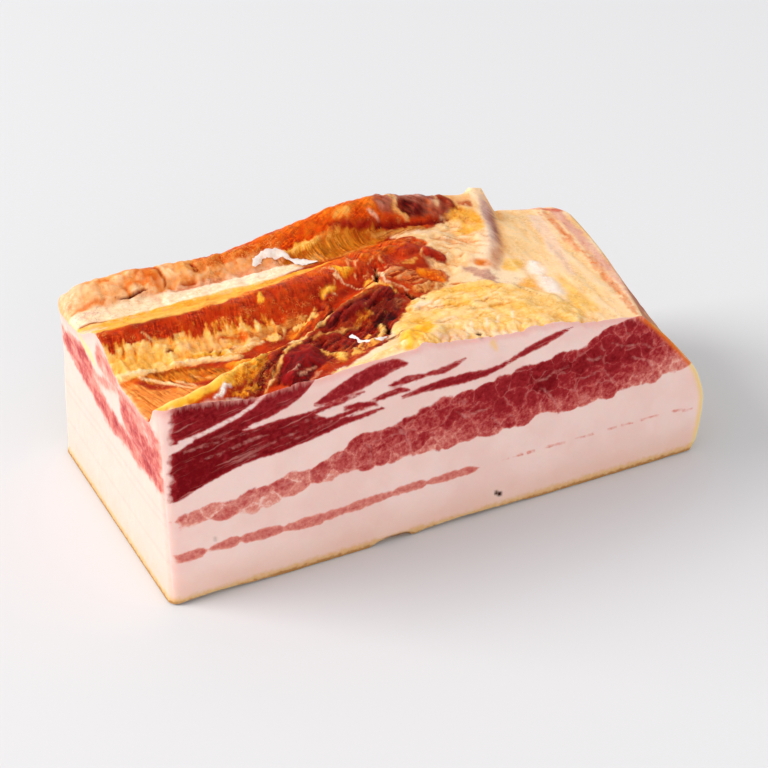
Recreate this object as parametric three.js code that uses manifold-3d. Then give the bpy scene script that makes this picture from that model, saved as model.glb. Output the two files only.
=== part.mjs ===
// Slab of smoked bacon: a block cut from a cured pork belly, lying on its rind.
// Millimetres, +Z up. X runs along the slab, from the fresh-cut left end to the smoked right end.
// Y runs from the fresh-cut front face to the trimmed back. The origin is the middle of the underside.
// The slab is shaped once as a whole, with the relief of its top, and then parted into the layers
// of fat and lean that show on its cut faces and run right through it.
import * as THREE from "three";
import { mergeVertices } from "three/addons/utils/BufferGeometryUtils.js";
import Module from "manifold-3d";

// Driving sizes of the whole slab.
const LENGTH = 186;
const DEPTH = 96;
const LEFT = -LENGTH / 2;
const RIGHT = LENGTH / 2;
const FRONT = -DEPTH / 2;
const BACK = DEPTH / 2;

// Clearance between neighbouring layers, how far a cutting solid reaches past the slab,
// and a height above everything.
const SEAM = 0.3;
const OVERCUT = 6;
const SKY = 96;

// Mesh spacing of the top relief, and steps of the outer walls and of the seams between layers.
const RELIEF_STEP = 3;
const WALL_STEPS = { along: 6, across: 8, up: 12 };
const BAND_STEPS = { along: 22, across: 6 };
const RIB_STEPS = { along: 34, across: 14 };

const mix = THREE.MathUtils.lerp;
const step = THREE.MathUtils.smoothstep;

// A smooth curve through a few [position, value] knots, held level past its ends.
function through(...knots) {
  const last = knots.length - 1;
  const slopes = knots.map((_, i) => {
    const before = knots[Math.max(i - 1, 0)];
    const after = knots[Math.min(i + 1, last)];
    return (after[1] - before[1]) / (after[0] - before[0]);
  });
  return (t) => {
    if (t <= knots[0][0]) return knots[0][1];
    if (t >= knots[last][0]) return knots[last][1];
    const i = knots.findIndex((knot) => knot[0] > t) - 1;
    const [start, from] = knots[i];
    const [end, to] = knots[i + 1];
    const width = end - start;
    const s = (t - start) / width;
    const bend = s * (1 - s) * width * ((1 - s) * slopes[i] - s * slopes[i + 1]);
    return mix(from, to, step(s, 0, 1)) + bend;
  };
}

// Even lumps of a given size, between -1 and 1, from a fixed hash of the cell they stand in.
function lumps(x, y, size) {
  const hash = (i, j) => {
    const wave = Math.sin(i * 127.1 + j * 311.7) * 43758.5453;
    return 2 * (wave - Math.floor(wave)) - 1;
  };
  const i = Math.floor(x / size);
  const j = Math.floor(y / size);
  const s = step(x / size - i, 0, 1);
  const t = step(y / size - j, 0, 1);
  return mix(mix(hash(i, j), hash(i + 1, j), s), mix(hash(i, j + 1), hash(i + 1, j + 1), s), t);
}

// A rounded hump of unit height at distance d from its crest, as wide as each flank says.
const hump = (d, front, back) => Math.exp(-((d / (d < 0 ? front : back)) ** 2));

// Top of the slab: strips of lean, left standing between the places of the rib bones, are ridges
// with a crest line across Y and a rise above the hollows between them.
const hollows = through([LEFT, 56], [-40, 56.5], [0, 58], [40, 58.5]);
const ridges = {
  back: {
    crest: through([LEFT, 34], [-60, 36], [15, 37], [50, 38]),
    rise: through([LEFT, 3], [-75, 4.8], [-45, 4.8], [-18, 8], [14, 12], [42, 6], [50, 4.6]),
    frontFlank: 9,
    backFlank: 12,
  },
  middle: {
    crest: through([LEFT, 3], [-60, 3], [-30, 7], [0, 12], [22, 18]),
    rise: through([LEFT, 6.5], [-40, 6.5], [0, 6.5], [18, 5], [32, 1]),
    frontFlank: 15,
    backFlank: 6,
  },
  front: {
    crest: through([LEFT, -46], [-65, -38], [-45, -29], [-20, -14], [5, 0], [20, 6]),
    rise: through([LEFT, 6.5], [-60, 6], [-30, 5.5], [0, 4], [20, 1]),
    frontFlank: 9,
    backFlank: 4.5,
  },
};
// Meat and fat along the front cut, in front of the front ridge.
const shelfRise = through([-92, 0], [-62, 3.7], [-25, 5], [-10, 4.6], [8, 2], [24, 0.6], [45, 0]);
const SHELF_DEPTH = { full: 4, gone: 26 };
// Crags on the ridges: a coarse and a fine set of lumps.
const CRAGS = [{ size: 9, rise: 0.9 }, { size: 4.5, rise: 0.5 }];
// The smoked fat on the right lies lower, beyond a torn edge that crosses the slab.
const tornEdge = through([FRONT, 30], [-30, 28], [-15, 26], [0, 33], [20, 45], [BACK, 55]);
const TORN_SLOPE = { top: -1.5, foot: 4 };
const plateau = through([25, 58.3], [42, 56.6], [55, 54.8], [70, 52.7], [RIGHT, 49.5]);
const TORN_TIP = { x: 52.5, y: 39, rise: 4.5, width: 3.2 };
// The back top edge is rounded over.
const BACK_ROUND = { start: 36.5, end: 42, drop: 5 };

function topHeight(x, y) {
  const pastEdge = x - tornEdge(y);
  let meat = hollows(x);
  for (const { crest, rise, frontFlank, backFlank } of Object.values(ridges)) {
    meat += rise(x) * hump(y - crest(x), frontFlank, backFlank);
  }
  meat += shelfRise(x) * (1 - step(y - FRONT, SHELF_DEPTH.full, SHELF_DEPTH.gone));
  for (const { size, rise } of CRAGS) {
    meat += rise * lumps(x, y, size) * (1 - step(pastEdge, -6, 2));
  }
  meat += TORN_TIP.rise * hump(Math.hypot(x - TORN_TIP.x, y - TORN_TIP.y), TORN_TIP.width, TORN_TIP.width);
  const fat = Math.min(plateau(x), meat);
  const height = mix(meat, fat, step(pastEdge, TORN_SLOPE.top, TORN_SLOPE.foot));
  return height - BACK_ROUND.drop * step(y, BACK_ROUND.start, BACK_ROUND.end) ** 2;
}

// Underside: flat, with the rind lifting a little along the front cut.
const RIND_LIFT = { rise: 0.6, reach: 7, wave: 22 };

function rindHeight(x, y) {
  const nearFront = 1 - step(y - FRONT, 0, RIND_LIFT.reach);
  return RIND_LIFT.rise * nearFront * (0.6 + 0.4 * lumps(x, 0, RIND_LIFT.wave));
}

// Outline by height: the back leans in as it rises, and the smoked right end slopes and bulges.
const backAt = through([0, BACK], [20, 44.5], [36, 41.5], [48, 40.5], [64, 39.5]);
const endAtFront = through(
  [0, 83.5], [4, 86], [18, 87], [26, 84.6], [32, 80.8], [46, 67.2], [54, 58], [70, 42],
);
const endAtBack = through([0, 88], [8, 91], [24, RIGHT], [40, 91.5], [48, 86], [56, 78], [70, 66]);

// The walls are a box of unit size, bent to the outline and carried up past the top.
function wallPlace(point) {
  const z = (point.z + 0.5) * SKY;
  const across = point.y + 0.5;
  const y = mix(FRONT, backAt(z), across);
  const end = mix(endAtFront(z), endAtBack(z), Math.sin((across * Math.PI) / 2));
  point.set(mix(LEFT, end, point.x + 0.5), y, z);
}

const wasm = await Module();
wasm.setup();

// Bends a box of unit size, with this many steps along, across and up, into a solid.
function bentBox({ along, across, up = 1 }, place) {
  const box = new THREE.BoxGeometry(1, 1, 1, along, across, up);
  box.deleteAttribute("normal");
  box.deleteAttribute("uv");
  const corners = box.getAttribute("position");
  const point = new THREE.Vector3();
  for (let i = 0; i < corners.count; i++) {
    place(point.fromBufferAttribute(corners, i));
    corners.setXYZ(i, point.x, point.y, point.z);
  }
  const closed = mergeVertices(box);
  const vertProperties = closed.getAttribute("position").array;
  const triVerts = new Uint32Array(closed.index.array);
  return new wasm.Manifold(new wasm.Mesh({ numProp: 3, vertProperties, triVerts }));
}

// A sheet between two heights, reaching past the slab's walls, and as far along as its end.
function sheet(lower, upper, steps, end) {
  return bentBox(steps, (point) => {
    const y = mix(FRONT - OVERCUT, BACK + OVERCUT, point.y + 0.5);
    const x = mix(LEFT - OVERCUT, end(y), point.x + 0.5);
    point.set(x, y, point.z < 0 ? lower(x, y) : upper(x, y));
  });
}

const reliefSteps = { along: Math.round(LENGTH / RELIEF_STEP), across: Math.round(DEPTH / RELIEF_STEP) };
const relief = sheet(rindHeight, topHeight, reliefSteps, () => RIGHT + OVERCUT);
const slab = bentBox(WALL_STEPS, wallPlace).intersect(relief);

// Layers, as heights over the slab.
// A thin streak of lean in the fat next to the rind, which ends part of the way along.
const STREAK = { front: 16.2, back: 14.4, settled: 10, end: 5 };
const streakHalf = through([LEFT, 1.9], [-30, 1.8], [STREAK.end, 0.8]);
const streakMiddle = (y) => mix(STREAK.front, STREAK.back, step(y, FRONT, STREAK.settled));
const streakLower = (x, y) => streakMiddle(y) - streakHalf(x);
const streakUpper = (x, y) => streakMiddle(y) + streakHalf(x);

// The main lean: a thin band at the left that swells to fill most of the right end.
const mainLower = through([LEFT, 25.5], [-43, 27.6], [0, 27.8], [45, 29.5], [77, 31]);
const mainUpper = through(
  [LEFT, 29.2], [-63, 31], [-43, 35], [-30, 39.5], [0, 44], [40, 49.8], [52, 52.2], [75, 50], [RIGHT, 47],
);

// The rib lean: thick at the left, where it makes the ridges, with a thin tail under the fat.
const ribFloor = through([LEFT, 35], [-78, 38], [-43, 43.5], [-10, 47.5], [12, 50.5], [34, 53.5]);
const ribFloorRise = through([FRONT, 0], [-12, 0.5], [10, 3.5], [30, 5]);
const ribTail = through([-40, 6], [-10, 4], [15, 2.4], [34, 1.6]);
const ribShows = through([FRONT, -42], [-30, -16], [-15, 0], [0, 15], [20, 23], [BACK, 42]);
const ribEnd = through([FRONT, 32], [0, 40], [BACK, 46]);
const RIB_COVER = { starts: -8, whole: 14, height: 75 };
const ribLower = (x, y) => ribFloor(x) + ribFloorRise(y) * (1 - step(x, -90, 20));
const ribUpper = (x, y) => {
  const covered = step(x - ribShows(y), RIB_COVER.starts, RIB_COVER.whole);
  return mix(RIB_COVER.height, ribLower(x, y) + ribTail(x), covered);
};

// Each layer lies between two heights, as far along as its end.
const ground = () => -OVERCUT;
const sky = () => SKY;
const pastEnd = () => RIGHT + OVERCUT;
const bands = {
  lowerFat: { lower: ground, upper: mainLower, end: pastEnd, steps: BAND_STEPS },
  streak: { lower: streakLower, upper: streakUpper, end: () => STREAK.end, steps: BAND_STEPS },
  mainLean: { lower: mainLower, upper: mainUpper, end: pastEnd, steps: BAND_STEPS },
  upperFat: { lower: mainUpper, upper: sky, end: pastEnd, steps: BAND_STEPS },
  ribs: { lower: ribLower, upper: ribUpper, end: ribEnd, steps: RIB_STEPS },
};

// Where a height falls towards the right end, its slope moves along as the height moves up.
const shifted = (height, by) => (x, y) => height(x - by, y) + by;

// A band's solid, grown by a margin on every side.
function grown({ lower, upper, end, steps }, margin) {
  return sheet(shifted(lower, -margin), shifted(upper, margin), steps, (y) => end(y) + margin);
}

const inside = (band) => slab.intersect(grown(band, -SEAM / 2));
const without = (solid, band) => solid.subtract(grown(band, SEAM / 2));

// Finishes of the cut faces and of the smoked top.
const finish = (color, roughness) => new THREE.MeshStandardMaterial({ color, roughness, metalness: 0 });

const layers = [
  ["fat_lower", without(inside(bands.lowerFat), bands.streak), finish("#efd9d0", 0.45)],
  ["lean_streak", inside(bands.streak), finish("#cf8f86", 0.5)],
  ["lean_main", inside(bands.mainLean), finish("#9c3f44", 0.45)],
  ["fat_upper", without(inside(bands.upperFat), bands.ribs), finish("#f1cd96", 0.4)],
  ["lean_ribs", inside(bands.ribs), finish("#9a3a1e", 0.4)],
];

const bacon = new THREE.Group();
for (const [name, solid, material] of layers) {
  const { vertProperties, triVerts } = solid.getMesh();
  const geometry = new THREE.BufferGeometry();
  geometry.setAttribute("position", new THREE.BufferAttribute(new Float32Array(vertProperties), 3));
  geometry.setIndex(new THREE.BufferAttribute(new Uint32Array(triVerts), 1));
  geometry.computeVertexNormals();
  const mesh = new THREE.Mesh(geometry, material);
  mesh.name = name;
  bacon.add(mesh);
}

export default bacon;
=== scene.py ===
"""Looks of a slab of smoked bacon: one skin over its layers, two fresh cuts, a smoked top and torn shreds."""
import math
from functools import cached_property

import bpy
import numpy as np
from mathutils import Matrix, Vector


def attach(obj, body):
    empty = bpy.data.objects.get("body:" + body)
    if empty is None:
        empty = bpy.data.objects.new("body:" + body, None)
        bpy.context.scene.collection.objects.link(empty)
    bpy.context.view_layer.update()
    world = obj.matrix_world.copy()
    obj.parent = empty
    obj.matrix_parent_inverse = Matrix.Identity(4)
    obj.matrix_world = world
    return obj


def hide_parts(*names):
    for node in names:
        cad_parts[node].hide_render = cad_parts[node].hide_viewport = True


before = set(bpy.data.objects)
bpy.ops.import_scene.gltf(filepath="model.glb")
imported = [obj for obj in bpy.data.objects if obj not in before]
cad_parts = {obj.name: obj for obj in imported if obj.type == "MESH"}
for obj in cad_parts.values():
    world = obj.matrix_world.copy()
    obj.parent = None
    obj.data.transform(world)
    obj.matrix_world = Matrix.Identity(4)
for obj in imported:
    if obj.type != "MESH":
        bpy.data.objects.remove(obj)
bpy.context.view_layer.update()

# Sizes are in millimetres, in the part's own frame, and turn to metres when a mesh is made.
MM = 0.001
LEFT, RIGHT, FRONT, BACK = -93.0, 93.0, -48.0, 48.0

# Cells of the skin: along, across and up, how many of them the underside takes together,
# and the rows that the smoked walls keep.
ALONG, ACROSS, UP = 320, 160, 80
UNDER_STEP = 8
SMOKED_ROWS = (0, 8, 15, 17, 18, 19, 20, 22, 30, 37, 44, 50, 56, 62, 68, 73, 77, 80)
# The finishes on the skin, in the order of its materials.
TOP, FRESH_CUT, RIND, SMOKED_CUT = range(4)
# Where nothing is laid: how deep a point lies in a ribbon, layer or seam, and how far it is from
# the smoke crust or from a pebble.
NO_RIBBON, NO_LAYER, NO_SEAM = -999.0, -99.0, -9
NO_CRUST, NO_PEBBLE = 99, 9.0
# How wet smoked fat and smoked lean are.
FAT_WET, LEAN_WET = 0.35, 0.65


def linear(code):
    """A hex sRGB colour as three linear values, by the standard's own curve."""
    parts = np.array([int(code[i : i + 2], 16) / 255 for i in (1, 3, 5)])
    return np.where(parts <= 0.04045, parts / 12.92, ((parts + 0.055) / 1.055) ** 2.4)


def mix(a, b, share):
    """From a to b by a share."""
    return a + (b - a) * share


def step(t, low, high):
    """A smooth step from 0 at low to 1 at high."""
    s = np.clip((t - low) / (high - low), 0, 1)
    return s * s * (3 - 2 * s)


def through(*knots):
    """A smooth curve through a few (position, value) knots, held level past its ends."""
    place = np.array([knot[0] for knot in knots], float)
    value = np.array([knot[1] for knot in knots], float)
    last = len(knots) - 1
    before = np.maximum(np.arange(last + 1) - 1, 0)
    after = np.minimum(np.arange(last + 1) + 1, last)
    slope = (value[after] - value[before]) / (place[after] - place[before])

    def curve(t):
        t = np.clip(np.asarray(t, float), place[0], place[-1])
        i = np.clip(np.searchsorted(place, t, side="right") - 1, 0, last - 1)
        width = place[i + 1] - place[i]
        s = (t - place[i]) / width
        bend = s * (1 - s) * width * ((1 - s) * slope[i] - s * slope[i + 1])
        return mix(value[i], value[i + 1], step(s, 0, 1)) + bend

    return curve


# Uneven numbers that give neighbouring cells unlike values.
CELL_I, CELL_J, CELL_SEED, CELL_SPREAD = 127.1, 311.7, 74.7, 43758.5453
# How far a pebble strays from the middle of its cell, in pebble sizes.
PEBBLE_STRAY = 0.42


def scatter(i, j, seed):
    """A fixed value between -1 and 1 for each whole cell."""
    wave = np.sin(i * CELL_I + j * CELL_J + seed * CELL_SEED) * CELL_SPREAD
    return 2 * (wave - np.floor(wave)) - 1


def lumps(x, y, size, seed=0):
    """Even lumps of one size, between -1 and 1."""
    i, j = np.floor(x / size), np.floor(y / size)
    s, t = step(x / size - i, 0, 1), step(y / size - j, 0, 1)
    low = mix(scatter(i, j, seed), scatter(i + 1, j, seed), s)
    high = mix(scatter(i, j + 1, seed), scatter(i + 1, j + 1, seed), s)
    return mix(low, high, t)


def crumble(x, y, size, seed=0):
    """Lumps of three sizes, each half as big as the one before."""
    turned = (0.8 * x - 0.6 * y, 0.6 * x + 0.8 * y)
    coarse = lumps(x, y, size, seed)
    middle = lumps(*turned, size / 2, seed + 1)
    return 0.6 * coarse + 0.3 * middle + 0.15 * lumps(x, y, size / 4, seed + 2)


def pebbles(x, y, size, seed=0):
    """Distance to the nearest pebble's middle, and how far inside its own edge, in pebble sizes."""
    i, j = np.floor(x / size), np.floor(y / size)
    nearest = np.full(np.shape(x), NO_PEBBLE)
    second = nearest.copy()
    for across in (-1, 0, 1):
        for along in (-1, 0, 1):
            a, b = i + along, j + across
            away_x = x / size - a - 0.5 - PEBBLE_STRAY * scatter(a, b, seed)
            away_y = y / size - b - 0.5 - PEBBLE_STRAY * scatter(a, b, seed + 5)
            away = np.hypot(away_x, away_y)
            second = np.minimum(second, np.maximum(nearest, away))
            nearest = np.minimum(nearest, away)
    return nearest, second - nearest


def ribbon(u, v, path):
    """How far inside a ribbon each point lies. The path is (u, v, width) points."""
    inside = np.full(np.shape(u), NO_RIBBON)
    for (u0, v0, w0), (u1, v1, w1) in zip(path, path[1:]):
        du, dv = u1 - u0, v1 - v0
        s = np.clip(((u - u0) * du + (v - v0) * dv) / (du * du + dv * dv), 0, 1)
        inside = np.maximum(inside, mix(w0, w1, s) / 2 - np.hypot(u - u0 - s * du, v - v0 - s * dv))
    return inside


def hump(d, front, back):
    """A rounded ridge, with its own width on each side."""
    return np.exp(-((d / np.where(d < 0, front, back)) ** 2))


# Outline by height: the back leans in as it rises, and the smoked right end slopes and bulges.
back_at = through((0, BACK), (20, 44.5), (36, 41.5), (48, 40.5), (64, 39.5))
end_at_front = through((0, 83.5), (4, 86), (18, 87), (26, 84.6), (32, 81.2), (46, 68.6), (54, 60),
        (70, 44.5))
end_at_back = through((0, 88), (8, 91), (24, RIGHT), (40, RIGHT), (48, 90.5), (56, 84.5), (70, 72))
# How round the right end is from front to back. Its upright edge at the back is cut away this far,
# from this share of the way across.
END_ROUND, BACK_CHAMFER, CHAMFER_FROM = 0.4, 5.0, 0.86
# Radii of the upright edges at the left end.
FRONT_EDGE, BACK_EDGE = 3.4, 5.0


def round_edge(u, v, radius):
    """Moves points that lie u and v in from the two faces of an edge, so that the edge is round."""
    a, b = np.clip(1 - u / radius, 0, 1), np.clip(1 - v / radius, 0, 1)
    near = (a > 0) & (b > 0)
    inner_u = np.where(near, radius * (1 - a * np.sqrt(1 - b * b / 2)), u)
    inner_v = np.where(near, radius * (1 - b * np.sqrt(1 - a * a / 2)), v)
    return inner_u, inner_v


def outline(s, t, z):
    """The place, on a level z, of shares s along and t across the slab."""
    end = mix(end_at_front(z), end_at_back(z), mix(t, np.sin(t * math.pi / 2), END_ROUND))
    end = end - BACK_CHAMFER * step(t, CHAMFER_FROM, 1) ** 2
    back = back_at(z)
    u, v = round_edge(s * (end - LEFT), t * (back - FRONT), FRONT_EDGE)
    u, v = round_edge(u, back - FRONT - v, BACK_EDGE)
    return LEFT + u, back - v


# Shares of the steps along the slab, and the shares of its length that they reach.
STEP_SHARES, LENGTH_SHARES = (0, 0.76, 0.84, 1), (0, 0.68, 0.76, 1)


def spread(count):
    """Steps along the slab, closer together over its left two thirds and wider apart at its right."""
    at = np.linspace(0, 1, count + 1)
    return np.interp(at, STEP_SHARES, LENGTH_SHARES)


# Top of the slab: ridges of lean left standing between the places of the rib bones.
hollows = through((LEFT, 56), (-40, 56.3), (0, 58), (40, 58.5))
back_crest = through((LEFT, 35), (-60, 36), (15, 37), (50, 38))
back_rise = through((LEFT, 0.8), (-87, 4), (-78, 5.2), (-66, 5.2), (-45, 4.8), (-18, 8.2), (10, 12.2),
        (24, 10), (42, 6), (50, 4.6))
middle_crest = through((LEFT, -1), (-60, 0), (-30, 3), (0, 9), (22, 15))
middle_rise = through((LEFT, 7.5), (-40, 7.3), (0, 6.8), (18, 5), (34, 1))
front_crest = through((LEFT, -46.5), (-80, -44), (-62, -35), (-45, -27), (-20, -13), (5, 0), (20, 6))
front_rise = through((LEFT, 6.8), (-80, 6), (-60, 4.5), (-30, 4), (0, 3), (20, 1))
RIDGES = (
    (back_crest, back_rise, 7, 12),
    (middle_crest, middle_rise, 10, 11),
    (front_crest, front_rise, 7, 3.5),
)
# Meat and fat along the front cut, and the lower fat on the right beyond a torn edge.
shelf_rise = through((-92, 0), (-62, 3.7), (-25, 5), (-10, 4.6), (8, 2), (24, 0.6), (45, 0))
torn_edge = through((FRONT, 30), (-30, 27.5), (-12, 27), (-8, 31), (5, 40.5), (20, 49), (31, 53.6),
        (BACK, 59))
plateau = through((25, 58.3), (42, 56.6), (55, 54.8), (70, 52.7), (RIGHT, 49.5))
TORN_TIP = {"x": 52.5, "y": 38.5, "rise": 5, "width": 3}
# From where to where, in from the front, the shelf falls, and across the torn edge, its step.
SHELF_FALL, TORN_STEP = (4, 26), (-2.4, 4.2)
# How much higher the fat on the right lies at the back, and how the top falls at its back edge.
FAT_TILT, FAT_TILTS = 1.2, (5, 38)
BACK_DROP, BACK_DROPS = 5, (36.5, 42)


def base_top(x, y):
    """Height of the top before its finer relief."""
    meat = hollows(x)
    for crest, rise, front, back in RIDGES:
        meat = meat + rise(x) * hump(y - crest(x), front, back)
    meat = meat + shelf_rise(x) * (1 - step(y - FRONT, *SHELF_FALL))
    from_tip = np.hypot(x - TORN_TIP["x"], y - TORN_TIP["y"])
    meat = meat + TORN_TIP["rise"] * hump(from_tip, TORN_TIP["width"], TORN_TIP["width"])
    past = x - torn_edge(y) + 1.3 * lumps(x, y, 7, 3)
    fat = plateau(x) + FAT_TILT * step(y, *FAT_TILTS)
    height = mix(meat, np.minimum(fat, meat), step(past, *TORN_STEP))
    return height - BACK_DROP * step(y, *BACK_DROPS) ** 2


# Tints of the smoked surface.
WHITE = "#FBEFE2"
CREAM = "#F6D6B0"
PALE_PINK = "#F2CBB0"
FAT = "#F2C286"
GOLD = "#F3BA5C"
AMBER = "#ECA136"
YELLOW_TAN = "#EBA654"
TAN = "#E5924E"
ORANGE = "#DE6C24"
RUST = "#CB430D"
MAHOGANY = "#9C280A"
DARK = "#75140A"
BLACKENED = "#360806"
PLUM = "#9C5440"
OLIVE = "#CB7A26"
BROWN = "#A64A12"


# The seed that the strokes' patterns start from, and its step from each pattern to the next.
FIRST_SEED, SEED_STEP = 30, 7


class SmokedTop:
    """Heights, tints, wetness, amber flecks and meat grain of the smoked top, laid stroke by stroke."""

    def __init__(self, x, y):
        self.x, self.y = x, y
        self.height = base_top(x, y)
        self.tint = np.zeros(x.shape + (3,))
        self.vein = np.zeros(x.shape + (3,))
        self.wet = np.full(x.shape, FAT_WET)
        self.fleck = np.zeros(x.shape)
        self.grain = np.zeros(x.shape + (3,))
        self.wander = [crumble(x, y, 3.4, seed) + 0.5 * crumble(x, y, 1.2, seed + 4) for seed in (11, 21)]
        self.seed = FIRST_SEED

    def pattern(self, angle, long, short):
        """Streaks at an angle from the slab's length, this long and this wide, between 0 and 1."""
        self.seed += SEED_STEP
        c, s = math.cos(math.radians(angle)), math.sin(math.radians(angle))
        streak = crumble((c * self.x + s * self.y) / long, (c * self.y - s * self.x) / short, 1, self.seed)
        return step(streak, -0.4, 0.4)

    def lay(self, path, tint, other=None, streaks=(0, 5, 5), soft=1.2, ragged=0.9, fringe=0, cover=1.0,
            specks=0.35, **form):
        """Lays one stroke: its tints, and its form where it stands out, is lumpy, wet, flecked or fibrous."""
        away = [at + ragged * stray for at, stray in zip((self.x, self.y), self.wander)]
        pattern = self.pattern(*streaks)
        depth = ribbon(*away, path) + fringe * (pattern - 0.5)
        share = cover * step(depth, -soft / 2, soft / 2)
        plain, streak = linear(tint), linear(other) if other else 0.84 * linear(tint)
        lies = pattern[..., None] if other else 0
        # What lies under a stroke shows through it in specks.
        bare = step(crumble(self.x, self.y, 1.7, self.seed + 3), 0.12, 0.5)
        shows = (share * (1 - specks * bare))[..., None]
        self.tint = mix(self.tint, mix(plain, streak, lies), shows)
        self.vein = mix(self.vein, mix(streak, plain, lies), shows)
        self.shape(depth, share, pattern, **form)

    def shape(self, depth, share, pattern, rise=0, swell=1.5, bumps=None, ridged=0, smooth=0,
              wet=None, fleck=None, grain=None):
        """Raises a stroke over its swell, roughens or smooths it, wets and flecks it, and turns its grain."""
        if smooth:
            self.height = mix(self.height, soften(self.height, smooth), share)
        self.height = self.height + rise * step(depth, -0.4, swell)
        if bumps:
            size, tall = bumps
            self.height = self.height + tall * share * crumble(self.x, self.y, size, self.seed)
        if ridged:
            self.height = self.height + ridged * share * (pattern - 0.5)
        if wet is not None:
            self.wet = mix(self.wet, wet, share)
        if fleck is not None:
            self.fleck = mix(self.fleck, fleck, share)
        if grain is not None:
            angle, strength = math.radians(grain[0]), grain[1]
            toward = np.array([math.cos(angle), math.sin(angle), 0]) * strength
            self.grain = mix(self.grain, toward, share[..., None])

    def heap(self, path, size, tall, gap):
        """Heaps a stroke up in rounded lumps of one size, darker in the gaps between them."""
        self.seed += SEED_STEP
        away = [at + 0.8 * stray for at, stray in zip((self.x, self.y), self.wander)]
        nearest, inside = pebbles(away[0], away[1], size, self.seed)
        share = step(ribbon(*away, path), -1, 1.2)
        self.height = self.height + tall * share * (0.6 - np.minimum(nearest / 0.75, 1) ** 2)
        between = gap * share * (1 - step(inside, 0.02, 0.2))
        self.tint = self.tint ** (1 + between[..., None])
        self.vein = self.vein ** (1 + between[..., None])


def lay_ground(top):
    """Smoked fat all over, and smoked lean on the left."""
    fat = mix(linear(FAT), linear(CREAM), top.pattern(30, 16, 9)[..., None])
    lean = mix(linear(RUST), linear(MAHOGANY), top.pattern(25, 9, 4)[..., None])
    shows = through((FRONT, -40), (-40, -24), (-30, -15), (-18, 0), (-8, 13), (2, 20), (12, 17), (20, 12),
            (28, 33), (BACK, 40))
    side = top.x - shows(top.y) + 1.6 * top.wander[0]
    on_fat = step(side, -0.8, 0.8)
    top.tint = mix(lean, fat, on_fat[..., None])
    top.vein = 0.8 * top.tint
    top.wet = mix(LEAN_WET, FAT_WET, on_fat)
    top.fleck = mix(0.3, 0.0, on_fat)
    rough = 1 - step(side, -3, 2)
    top.height = top.height + rough * 0.5 * crumble(top.x, top.y, 4.2, 8)


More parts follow.
